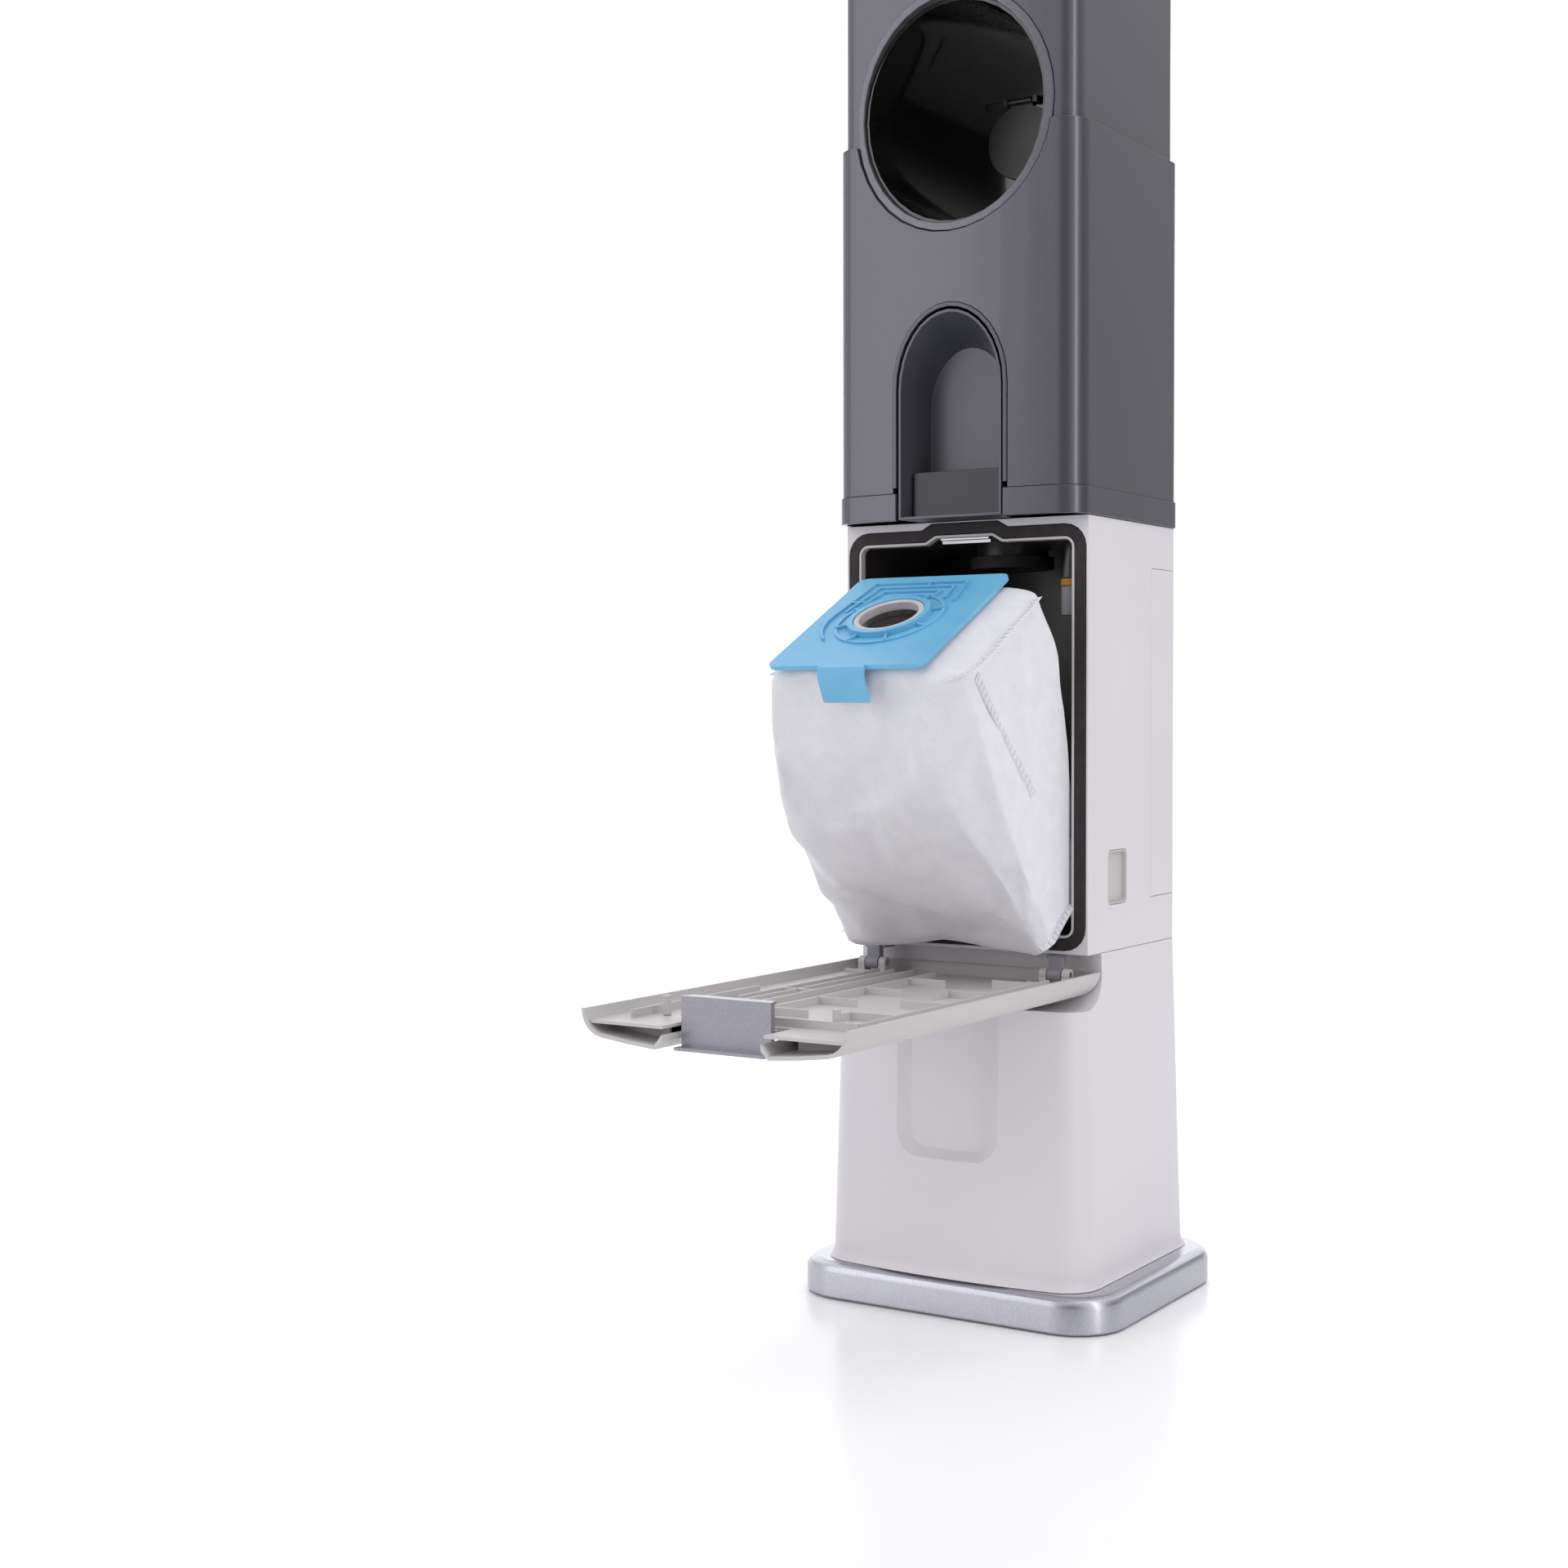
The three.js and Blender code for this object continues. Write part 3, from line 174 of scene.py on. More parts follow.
def raise_by(tree, shade, height, depth, strength=1.0, under=None):
    """Bump of that depth in metres, over another bump if one is given."""
    feeds = {"Height": height, "Distance": depth, "Strength": strength}
    if under is not None:
        feeds["Normal"] = under
    made = put(tree, "Bump", feeds).outputs[0]
    tree.links.new(made, shade.inputs["Normal"])
    return made


# %% [markdown]
# ## White and warm grey mouldings
# The housing is injection-moulded ABS, the plastic of most vacuum cleaners. The steel mould
# is spark-eroded to a fine grain so that the wall hides fingerprints: light spreads in a soft
# sheen, never a sharp mirror. The grain is about 0.3 mm and is drawn at 0.7 mm so that it
# shows. Plastic also flows in the mould, which leaves a very faint drift of tone over
# hundreds of millimetres. The door is the same plastic in a warmer grey.

# %% Moulded ABS
def moulded_abs(name, light, dark, rough=0.4, grain_size=0.7 * MM, depth=0.02 * MM):
    made, tree, shade = finish(name, IOR=1.54, Specular_IOR_Level=0.45)
    drift = grain(tree, 180 * MM, 1.0)
    tree.links.new(two_tones(tree, drift, dark, light), shade.inputs["Base Color"])
    patches = grain(tree, 25 * MM, 3.0)
    tree.links.new(between(tree, patches, rough - 0.05, rough + 0.06), shade.inputs["Roughness"])
    raise_by(tree, shade, grain(tree, grain_size, 1.0), depth, 0.5)
    return made


white_abs = moulded_abs("white_abs", "#dedade", "#d8d4d9", 0.36)
warm_abs = moulded_abs("warm_grey_abs", "#c9c5c4", "#c1bdbc", 0.46)
black_abs = moulded_abs("black_abs", "#342f2e", "#2b2726", 0.3)
grey_abs = moulded_abs("grey_abs", "#94939a", "#88878e", 0.42)
print("moulded plastics ready")

# %% [markdown]
# ## Graphite lacquer
# The dark covers are ABS sprayed with a metallic lacquer: fine aluminium flakes under a
# satin clear coat. The flakes make the face brighten where it turns to the light and go dark
# where it turns away. Real flakes are 0.02 mm; they are drawn as 0.8 mm cells whose tone
# varies a little, which reads as the same faint sparkle. The metal share is partial, since
# pigment covers much of the flake.

# %% Graphite lacquer
def graphite(name, light, dark, rough):
    made, tree, shade = finish(name, Metallic=0.55, Coat_Weight=0.25, Coat_Roughness=0.22)
    where = put(tree, "TexCoord").outputs["Object"]
    flake = put(tree, "TexVoronoi", {"Vector": where, "Scale": 1 / (0.8 * MM)}).outputs["Color"]
    level_of = put(tree, "SeparateColor", {0: flake}).outputs[0]
    tree.links.new(two_tones(tree, level_of, dark, light, 0.0, 1.0), shade.inputs["Base Color"])
    worn = between(tree, grain(tree, 90 * MM, 0.0), rough - 0.01, rough + 0.01)
    tree.links.new(worn, shade.inputs["Roughness"])
    raise_by(tree, shade, grain(tree, 1.6 * MM, 0.0), 0.003 * MM, 0.2)
    return made


graphite_lacquer = graphite("graphite_lacquer", "#5d5c64", "#595860", 0.27)
niche_graphite = graphite("niche_graphite_lacquer", "#57565e", "#53525a", 0.38)
dark_graphite = graphite("dark_graphite_lacquer", "#2f2e33", "#29282d", 0.24)

# %% [markdown]
# ## Silver lacquer on die-cast aluminium
# The plinth is cast, ground smooth and sprayed silver, then cleared. A sprayed coat keeps a
# slight orange-peel ripple a few millimetres wide, which softens the edge of each
# reflection. The latch plate and the socket's ring are plastic in the same silver.

# %% Silver lacquer
def silver(name, light, dark, rough, metal):
    made, tree, shade = finish(name, Metallic=metal, Coat_Weight=0.3, Coat_Roughness=0.15)
    where = put(tree, "TexCoord").outputs["Object"]
    flake = put(tree, "TexVoronoi", {"Vector": where, "Scale": 1 / (0.7 * MM)}).outputs["Color"]
    level_of = put(tree, "SeparateColor", {0: flake}).outputs[0]
    tree.links.new(two_tones(tree, level_of, dark, light, 0.0, 1.0), shade.inputs["Base Color"])
    worn = between(tree, grain(tree, 30 * MM), rough - 0.04, rough + 0.05)
    tree.links.new(worn, shade.inputs["Roughness"])
    raise_by(tree, shade, grain(tree, 3.5 * MM, 1.0), 0.02 * MM, 0.4)
    return made


silver_cast = silver("silver_lacquered_aluminium", "#c3c3cb", "#b3b3bc", 0.3, 0.85)
silver_abs = silver("silver_lacquered_abs", "#9b9aa3", "#8f8e98", 0.34, 0.6)
silver_ring = silver("silver_grey_ring", "#6c6b73", "#5f5e66", 0.32, 0.6)

# %% [markdown]
# ## Piano black
# The socket's bowl is polished black ABS. The mould is mirror-polished, so the plastic shows
# the room as a dark mirror with a trace of polishing haze.

# %% Piano black
piano_black, tree, shade = finish("piano_black_abs", IOR=1.54, Coat_Weight=0.6, Coat_Roughness=0.03)
tree.links.new(two_tones(tree, grain(tree, 60 * MM), "#0b090a", "#100d0e"), shade.inputs["Base Color"])
tree.links.new(between(tree, grain(tree, 12 * MM, 4.0), 0.08, 0.16), shade.inputs["Roughness"])

# %% [markdown]
# ## Rubber
# The gasket is extruded EPDM, a matt black rubber with a trace of white bloom along it. The
# seal in the bag's plate is a softer pale TPE. Both are matt with a wide, weak highlight.

# %% Rubbers
def rubber(name, light, dark, rough):
    made, tree, shade = finish(name, IOR=1.5, Specular_IOR_Level=0.35)
    tree.links.new(two_tones(tree, grain(tree, 9 * MM, 4.0), dark, light), shade.inputs["Base Color"])
    worn = between(tree, grain(tree, 3 * MM, 3.0), rough - 0.06, rough + 0.06)
    tree.links.new(worn, shade.inputs["Roughness"])
    raise_by(tree, shade, grain(tree, 1.0 * MM, 2.0), 0.04 * MM, 0.5)
    return made


epdm = rubber("epdm_rubber", "#332e30", "#282325", 0.66)
pale_tpe = rubber("pale_tpe", "#cfc9cf", "#bfb9bf", 0.5)
amber_silicone = rubber("amber_silicone", "#c08a2c", "#a87420", 0.42)

# %% [markdown]
# ## Metals inside
# The strike, pins and screws are zinc-plated steel, rolled and then plated: a bright grey
# metal with fine lines along one direction. The motor's windings are enamelled copper wire,
# wound in turns about 1 mm apart, so rings of light run round the coil: partly from the
# turns' bump, partly painted, as a lighter colour on each turn and a darker one between them.

# %% Steel and copper
zinc_steel, tree, shade = finish("zinc_plated_steel", Metallic=1.0)
lines = grain(tree, 1.2 * MM, 3.0, stretch=(0.05, 1, 1))
tree.links.new(two_tones(tree, lines, "#9c9ca0", "#b9b9bc"), shade.inputs["Base Color"])
tree.links.new(between(tree, lines, 0.24, 0.38), shade.inputs["Roughness"])

copper_wire, tree, shade = finish("enamelled_copper_wire", Metallic=0.9, Coat_Weight=0.5)
where = put(tree, "TexCoord").outputs["Object"]
winding = {"Vector": where, "Scale": 0.3 / MM, "Distortion": 0.4}
turns = put(tree, "TexWave", winding, bands_direction="Z").outputs["Fac"]
# Painted shade and painted highlight: the wire's colour is darker between the turns and lighter on them.
tree.links.new(two_tones(tree, turns, "#7c4a26", "#b3713f", 0, 1), shade.inputs["Base Color"])
tree.links.new(between(tree, turns, 0.42, 0.28), shade.inputs["Roughness"])
raise_by(tree, shade, turns, 0.3 * MM, 0.8)

# %% [markdown]
# ## Circuit board and filter paper
# The board is glass fibre under green solder resist: a fine weave of about 1 mm shows
# through. The exhaust filter is white paper folded into pleats 5 mm apart. Its colour is
# painted darker in each fold, a painted shade between the pleats over the pleats' bump.

# %% Board and paper
green_resist, tree, shade = finish("green_solder_resist", IOR=1.52)
where = put(tree, "TexCoord").outputs["Object"]
two_greens = {"Color1": srgb("#1d4a2c"), "Color2": srgb("#256038")}
weave = put(tree, "TexChecker", {"Vector": where, "Scale": 1 / MM, **two_greens})
tree.links.new(weave.outputs["Color"], shade.inputs["Base Color"])
tree.links.new(between(tree, grain(tree, 4 * MM), 0.25, 0.4), shade.inputs["Roughness"])

filter_paper, tree, shade = finish("pleated_filter_paper", IOR=1.45, Specular_IOR_Level=0.2)
where = put(tree, "TexCoord").outputs["Object"]
pleats_and_painted_shade = put(tree, "TexWave", {"Vector": where, "Scale": 0.0628 / MM}, bands_direction="X").outputs["Fac"]
# Painted shade: the white paper is coloured grey in each fold between the pleats.
tree.links.new(two_tones(tree, pleats_and_painted_shade, "#a3a19a", "#dedcd4", 0, 1), shade.inputs["Base Color"])
tree.links.new(between(tree, grain(tree, 2 * MM, 3.0), 0.8, 0.95), shade.inputs["Roughness"])
raise_by(tree, shade, pleats_and_painted_shade, 2.5 * MM, 0.9)

# %% [markdown]
# ## Blue polypropylene
# The bag's plate is moulded polypropylene. It is a slightly waxy, slightly see-through
# plastic: light enters and comes back softly, so the colour looks deeper in thick ribs. A
# fine matt grain covers it, with smooth glossy edges.

# %% Blue polypropylene
blue_pp, tree, shade = finish(
    "blue_polypropylene",
    IOR=1.49,
    Subsurface_Weight=0.18,
    Subsurface_Radius=(0.4, 0.9, 1.2),
    Subsurface_Scale=1.5 * MM,
)
tree.links.new(two_tones(tree, grain(tree, 45 * MM, 2.0), "#69b0d8", "#74bbe0"), shade.inputs["Base Color"])
tree.links.new(between(tree, grain(tree, 8 * MM, 3.0), 0.3, 0.42), shade.inputs["Roughness"])
raise_by(tree, shade, grain(tree, 0.8 * MM, 1.0), 0.02 * MM, 0.4)

# %% [markdown]
# ## Bag fleece
# The bag is white spunbond polypropylene: continuous fibres laid down at random and pressed
# together by a heated roller that leaves rows of small points. Those points are about 1 mm
# apart and are drawn 2.2 mm apart. Fibres catch light at a glancing angle, so the cloth has a
# sheen, and it lets some light through, which is why its folds are pale grey and not dark.

# %% Bag fleece
def spunbond(name, light, dark, rough):
    """Non-woven bag cloth, in the two tones and the range of roughness given."""
    made, tree, shade = finish(
        name,
        IOR=1.46,
        Specular_IOR_Level=0.3,
        Sheen_Weight=0.2,
        Sheen_Roughness=0.4,
        Subsurface_Weight=0.25,
        Subsurface_Radius=(1.0, 1.0, 1.0),
        Subsurface_Scale=4 * MM,
    )
    where = put(tree, "TexCoord").outputs["Object"]
    rolled = {"Vector": where, "Scale": 1 / (2.2 * MM), "Randomness": 0.35}
    points = put(tree, "TexVoronoi", rolled).outputs["Distance"]
    fibres = grain(tree, 1.4 * MM, 5.0)
    cloudy = grain(tree, 14 * MM, 3.0)
    mottled = put(tree, "Math", {0: fibres, 1: cloudy}, operation="ADD").outputs[0]
    tree.links.new(two_tones(tree, mottled, dark, light, 0.75, 1.25), shade.inputs["Base Color"])
    tree.links.new(between(tree, fibres, rough - 0.11, rough + 0.11), shade.inputs["Roughness"])
    pressed = raise_by(tree, shade, between(tree, points, 0.0, 1.0, 0.1, 0.45), 0.12 * MM, 0.35)
    raise_by(tree, shade, cloudy, 0.5 * MM, 0.25, pressed)
    return made


fleece = spunbond("spunbond_fleece", "#f1f0f4", "#e9e8ee", 0.61)
welded_fleece = spunbond("welded_fleece", "#eae9ee", "#e0dfe6", 0.5)
print("finishes:", sorted(m.name for m in bpy.data.materials))

# %% [markdown]
# ## Dressing the solids
# Each solid keeps its shape and gets the finish it has in life. Moulded and cast edges are
# never knife sharp: the mould itself has a small radius there, and that radius is what draws
# the thin bright line along an edge. A bevel modifier adds it, after a weld joins the loose
# triangles and a dissolve clears the flat faces, and weighted normals keep the flats flat.
# The bag's plate and the duct keep their triangles: a flat face with ribs standing in its
# middle becomes a ring when it is dissolved, and a ring can't be filled as one polygon.

# %% Finish and soft edges for each solid
def dress(names, material, edge=0.4 * MM, steps=2, clear_flats=True):
    for name in names.split():
        solid = nodes[name]
        solid.data.materials.clear()
        solid.data.materials.append(material)
        solid.data.polygons.foreach_set("use_smooth", [True] * len(solid.data.polygons))
        weld = solid.modifiers.new("join", "WELD")
        weld.merge_threshold = 0.02 * MM
        if clear_flats:
            clear = solid.modifiers.new("clear_flats", "DECIMATE")
            clear.decimate_type = "DISSOLVE"
            clear.angle_limit = math.radians(0.6)
        if edge:
            soft = solid.modifiers.new("soft_edge", "BEVEL")
            soft.width, soft.segments = edge, steps
            soft.limit_method = "ANGLE"
            soft.angle_limit = math.radians(32)
            soft.harden_normals = True
        flat = solid.modifiers.new("flat_faces", "WEIGHTED_NORMAL")
        flat.keep_sharp = True


dress("base_plinth", silver_cast, 1.0 * MM, 3)
dress("lower_housing mid_housing", white_abs, 0.5 * MM)
dress("rear_filter_cover", white_abs, 0.4 * MM)
dress("door_outer_shell door_inner_panel door_peg_L door_peg_R", warm_abs, 0.35 * MM)
dress("gasket_rib side_pocket_L side_pocket_R", warm_abs, 0.35 * MM)
dress("upper_front_cover upper_rear_cover lower_trim_band", graphite_lacquer, 0.35 * MM)
dress("head_front_cover head_rear_cover top_cap", graphite_lacquer, 0.35 * MM)
dress("niche_liner niche_bead", niche_graphite, 0.3 * MM)
dress("niche_lower_block", dark_graphite, 0.5 * MM)
dress("dock_socket", piano_black, 0.5 * MM)
dress("dock_ring", silver_ring, 0.7 * MM, 3)
dress("latch_lever start_button", silver_abs, 0.4 * MM)
dress("door_gasket motor_mount base_pad spigot_seal", epdm, 0.6 * MM)
dress("bag_chamber_liner inlet_spigot inlet_flap", black_abs, 0.5 * MM)
dress("suction_pipe power_inlet filter_holder", black_abs, 0.5 * MM)
dress("filter_cartridge floor_grille motor_can impeller", grey_abs, 0.4 * MM)
dress("hinge_bracket_L hinge_bracket_R", grey_abs, 0.4 * MM)
dress("filter_seal", amber_silicone, 0.5 * MM)
dress("bag_seal_ring", pale_tpe, 0.6 * MM, 3)
dress("bag_plate", blue_pp, 0.4 * MM, clear_flats=False)
dress("latch_strike hinge_pin_L hinge_pin_R latch_pin motor_shaft base_weight", zinc_steel, 0.2 * MM)
dress("flap_pivot", black_abs, 0.2 * MM)
dress("waste_duct", black_abs, 0.5 * MM, clear_flats=False)
dress("motor_core", copper_wire, 1.0 * MM)
dress("control_board", green_resist, 0.2 * MM)
dress("exhaust_filter", filter_paper, 0.3 * MM)
print("dressed", sum(bool(n.data.materials) for n in nodes.values()), "of", len(nodes), "solids")

# %% [markdown]
# ## The fabric bag
# The real bag is sewn flat from white fleece with two side gussets, like a block-bottom
# paper bag. Ultrasonic welds join its panels, and its mouth is welded under the blue plate.
# Air has opened it out, so it is a box with soft faces and a few sharp folds. A loft makes
# the box: each section is a rectangle with round corners, given in the upright position,
# and the whole is then leaned out with its plate. The rows follow the height and the columns
# run round, so a seam later on is simply one column or row of this grid.

# %% The bag's sections
LEAN = math.radians(27)
POLE = Vector((0, -34, 120.6)) * MM
HOLE_Y = 5.0

# front depth and height, back depth and height, left and right half widths, where the front
# panel's right fold is, how deep the slanted panel beside it goes back, corner radius
SECTIONS = [
    (-27, 270, 4, 277, 74, 73, 66, 7, 5),
    (-32, 277, 16, 285, 77, 78, 72, 8, 4),
    (-38, 300, 29, 308, 78.5, 79.5, 69, 11, 3.5),
    (-45, 326, 41, 333, 79, 80, 66, 13, 3.5),
    (-52, 352, 51, 359, 78, 80, 62, 15, 3.5),
    (-59, 380, 60, 386, 76, 80, 57, 18, 3.5),
    (-65, 408, 67, 411, 74, 79.5, 52, 20, 3.5),
    (-70.5, 440, 72, 443, 70, 79, 46, 22, 4),
    (-67.5, 456, 72.5, 458, 67, 78.5, 49, 20, 6),
    (-63.2, 474, 72.5, 476, 63, 78, 53, 15, 7),
    (-60, 487.5, 72, 489, 61, 77.5, 58, 9, 6),
    (-59, 490, 71, 491, 60.5, 74, 57, 8, 6),
    (-57.5, 494.5, 69, 495.5, 58, 62, 52, 6, 7),
    (-48, 499, 60, 499, 47, 48, 40, 6, 12),
]
SIDE_STEPS, FRONT_STEPS, CORNER_STEPS, ROW_SIZE = 30, 32, (9, 3, 3, 3), 4.6
FOLD_CURVE = 1.35  # how quickly the slanted panel turns in from the front fold


def section_ring(front, front_z, back, back_z, left, half, fold, slant, radius):
    """One closed row of points round the bag, from the front left corner to the right."""
    length = math.hypot(back - front, back_z - front_z)
    along = Vector((0, (back - front) / length, (back_z - front_z) / length))
    radius = min(radius, length * 0.3)
    corners = [
        (half - radius, length - radius, 0),
        (-left + radius, length - radius, 90),
        (-left + radius, radius, 180),
    ]
    shares = [i / CORNER_STEPS[0] for i in range(CORNER_STEPS[0] + 1)]
    arcs = [[(fold + (half - fold) * t, slant * t**FOLD_CURVE) for t in shares]]
    for k, (cx, cs, start) in enumerate(corners):
        turns = [math.radians(start + 90 * i / CORNER_STEPS[k + 1]) for i in range(CORNER_STEPS[k + 1] + 1)]
        arcs.append([(cx + radius * math.cos(a), cs + radius * math.sin(a)) for a in turns])
    ring = []
    for k in range(4):
        last, first = arcs[k - 1][-1], arcs[k][0]
        steps = FRONT_STEPS if k % 2 == 0 else SIDE_STEPS
        for i in range(1, steps):
            t = i / steps
            ring.append((last[0] + (first[0] - last[0]) * t, last[1] + (first[1] - last[1]) * t))
        ring.extend(arcs[k])
    return [Vector((x, front + along.y * s, front_z + along.z * s)) for x, s in ring]


def bag_rows():
    """Rows of points from the bottom's middle up to the plate."""
    lofted = []
    for low, high in zip(SECTIONS, SECTIONS[1:]):
        reach = max(abs(high[1] - low[1]), abs(high[4] - low[4]), 4)
        steps = max(1, round(reach / ROW_SIZE))
        for i in range(steps):
            t = i / steps
            lofted.append([a + (b - a) * t for a, b in zip(low, high)])
    lofted.append(SECTIONS[-1])
    rows = [section_ring(*row) for row in lofted]
    middle = sum(rows[0], Vector()) / len(rows[0])
    bottom = [[middle + (p - middle) * (0.12 + 0.88 * i / 7) for p in rows[0]] for i in range(7)]
    mouth = []
    for radius in (33, 25.5):
        level_z = 499.4
        edge = [Vector((p.x, p.y - HOLE_Y, 0)).normalized() * radius for p in rows[-1]]
        mouth.append([Vector((e.x, e.y + HOLE_Y, level_z)) for e in edge])
    return bottom + rows + mouth, len(bottom)


rows, bottom_rows = bag_rows()
around = len(rows[0])
print("bag grid:", len(rows), "rows of", around, "points")

# %% [markdown]
# ## Blowing the bag up
# A cloth simulation turns the folded box into fabric. The cloth is given 4.5% more length
# than the box has, so it buckles into shallow creases, and a little air pressure fills it.
# The rows welded to the plate are pinned. Gravity is left out, because the stiff fleece
# holds its folds, and no point may end more than a few millimetres from the box, so the bag
# still slips into its compartment.

# %% Cloth for the bag
def grid_mesh(name, rows, close_first=False):
    flat = [tuple(p) for row in rows for p in row]
    n = len(rows[0])
    quads = [
        (r * n + c, r * n + (c + 1) % n, (r + 1) * n + (c + 1) % n, (r + 1) * n + c)
        for r in range(len(rows) - 1)
        for c in range(n)
    ]
    if close_first:
        quads.append(tuple(reversed(range(n))))
    mesh = bpy.data.meshes.new(name)
    mesh.from_pydata(flat, [], quads)
    mesh.polygons.foreach_set("use_smooth", [True] * len(quads))
    return mesh


def leaned(point):
    """A point of the upright bag, in millimetres, where it is once the bag leans out."""
    return Matrix.Rotation(LEAN, 3, "X") @ (point * MM - POLE) + POLE


CREASE, CREASE_SIZE = 2.6, 36.0
start_rows = []
for r, row in enumerate(rows):
    pinned = r >= len(rows) - 5
    moved = []
    for p in row:
        shift = 0 if pinned else CREASE * noise.noise(p / CREASE_SIZE)
        outward = Vector((p.x, p.y - HOLE_Y, 0)).normalized()
        moved.append(leaned(p + outward * shift))
    start_rows.append(moved)

bag = bpy.data.objects.new("bag_fabric", grid_mesh("bag_fabric", start_rows, close_first=True))
bpy.context.scene.collection.objects.link(bag)
bag.data.materials.append(fleece)
before = np.array([v.co for v in bag.data.vertices])

PIN_ROWS, SIM_FRAMES, MOST = 5, 22, 6.0 * MM
held = bag.vertex_groups.new(name="welded")
held.add(list(range((len(rows) - PIN_ROWS) * around, len(rows) * around)), 1.0, "REPLACE")
cloth = bag.modifiers.new("cloth", "CLOTH")
cloth.settings.quality = 6
cloth.settings.mass = 0.15
cloth.settings.tension_stiffness = cloth.settings.compression_stiffness = 12
cloth.settings.shear_stiffness = 6
cloth.settings.bending_stiffness = 0.6
cloth.settings.use_pressure = True
cloth.settings.uniform_pressure_force = 0.35
cloth.settings.shrink_min = -0.045
cloth.settings.vertex_group_mass = "welded"
cloth.settings.effector_weights.gravity = 0
cloth.collision_settings.use_collision = False
cloth.point_cache.frame_end = SIM_FRAMES
for step in range(1, SIM_FRAMES + 1):
    bpy.context.scene.frame_set(step)
shaped = bag.evaluated_get(bpy.context.evaluated_depsgraph_get()).to_mesh()
after = np.array([v.co for v in shaped.vertices])
bag.modifiers.remove(cloth)
bpy.context.scene.frame_set(1)
shift = after - before
size = np.linalg.norm(shift, axis=1)
soft_cap = MOST * np.tanh(size / MOST) / np.maximum(size, 1e-9)
after = before + shift * soft_cap[:, None]
bag.data.vertices.foreach_set("co", after.astype(np.float32).ravel())
print("cloth moved points by up to %.1f mm" % (size.max() / MM))
SIDE_LIMIT, FLOOR = 80.6 * MM, 266.8 * MM
for v in bag.data.vertices:
    v.co.x = max(-SIDE_LIMIT, min(SIDE_LIMIT, v.co.x))
    stood = Matrix.Rotation(-LEAN, 3, "X") @ (v.co - POLE) + POLE
    stood.z = max(stood.z, FLOOR)
    v.co = Matrix.Rotation(LEAN, 3, "X") @ (stood - POLE) + POLE
bag.data.update()

# %% [markdown]
# ## Welds on the bag
# The gussets are joined by ultrasonic welds: a toothed horn presses the layers together, so
# a seam is a thin raised edge with a ladder of short dents along it. One runs round the top
# of each side where the gusset meets the top panel, one down the middle of the gusset and
# one along the bottom. Each is a narrow ribbon laid on the finished cloth, with a row of
# little pressed bars, so it follows every crease.

# %% Weld ribbons
bag.data.update()
grid_at = lambda r, c: bag.data.vertices[r * around + c % around].co.copy()
normal_at = lambda r, c: bag.data.vertices[r * around + c % around].normal.copy()


WELD_THICK, BAR_PITCH, BAR_HALF, BAR_HIGH = 0.35 * MM, 5.0 * MM, 1.0 * MM, 3.2
SMOOTH_REACH = 3  # how many neighbours on each side steady the ribbon's path
BOX_FACES = ((4, 5, 6, 7), (0, 1, 5, 4), (1, 2, 6, 5), (2, 3, 7, 6), (3, 0, 4, 7), (3, 2, 1, 0))


def nearby(values, i):
    return values[max(0, i - SMOOTH_REACH) : i + SMOOTH_REACH + 1]


def add_bar(points, faces, p, side, out, along, half_len):
    """Adds one pressed bar, narrower at its top, that lies across the ribbon at p."""
    base = len(points)
    for h, spread in ((0, 1.0), (1, 0.72)):
        for a, b in ((-1, -1), (1, -1), (1, 1), (-1, 1)):
            across = side * a * half_len * spread + along * b * BAR_HALF * spread
            points.append(tuple(p + across + out * h * WELD_THICK * BAR_HIGH))
    faces.extend([tuple(base + i for i in q) for q in BOX_FACES])


def ribbon(name, path, normals, width, lift, flap=None):
    """A strip with bars along path; flap gives a direction that the strip stands up in."""
    points, faces = [], []
    spots = [sum(nearby(path, i), Vector()) / len(nearby(path, i)) for i in range(len(path))]
    outs = [sum(nearby(normals, i), Vector()).normalized() for i in range(len(normals))]
    sides = []
    for i, (p, out) in enumerate(zip(spots, outs)):
        along = (spots[min(i + 1, len(spots) - 1)] - spots[max(i - 1, 0)]).normalized()
        side = flap[i] if flap else out.cross(along).normalized()
        sides.append((p + out * lift, side, out, along))
    for p, side, out, along in sides:
        for a, h in ((-0.5, 0), (0.5, 0), (0.5, 1), (-0.5, 1)):
            offset = side * (a + (0.5 if flap else 0)) * width
            points.append(tuple(p + offset + out * h * WELD_THICK))
    n = len(sides)
    for i in range(n - 1):
        for k in range(4):
            a, b = 4 * i + k, 4 * i + (k + 1) % 4
            faces.append((a, b, b + 4, a + 4))
    faces.extend([(3, 2, 1, 0), tuple(4 * (n - 1) + k for k in range(4))])
    travelled, next_at = 0.0, BAR_PITCH * 0.6
    for (start, *_), (end, side, out, along) in zip(sides, sides[1:]):
        leg = (end - start).length
        while travelled + leg >= next_at:
            t = (next_at - travelled) / leg
            p = start.lerp(end, t) + side * (0.5 * width if flap else 0)
            add_bar(points, faces, p + out * WELD_THICK * 0.9, side, out, along, width * 0.38)
            next_at += BAR_PITCH
        travelled += leg
    mesh = bpy.data.meshes.new(name)
    mesh.from_pydata(points, [], faces)
    mesh.materials.append(welded_fleece)
    made = bpy.data.objects.new(name, mesh)
    bpy.context.scene.collection.objects.link(made)
    soft = made.modifiers.new("soft_edge", "BEVEL")
    soft.width, soft.segments = 0.12 * MM, 1
    mesh.polygons.foreach_set("use_smooth", [True] * len(faces))
    return made


row_height = [sum(p.z for p in row) / around for row in rows]


def row_near(height):
    return min(range(bottom_rows, len(rows)), key=lambda r: abs(row_height[r] - height))


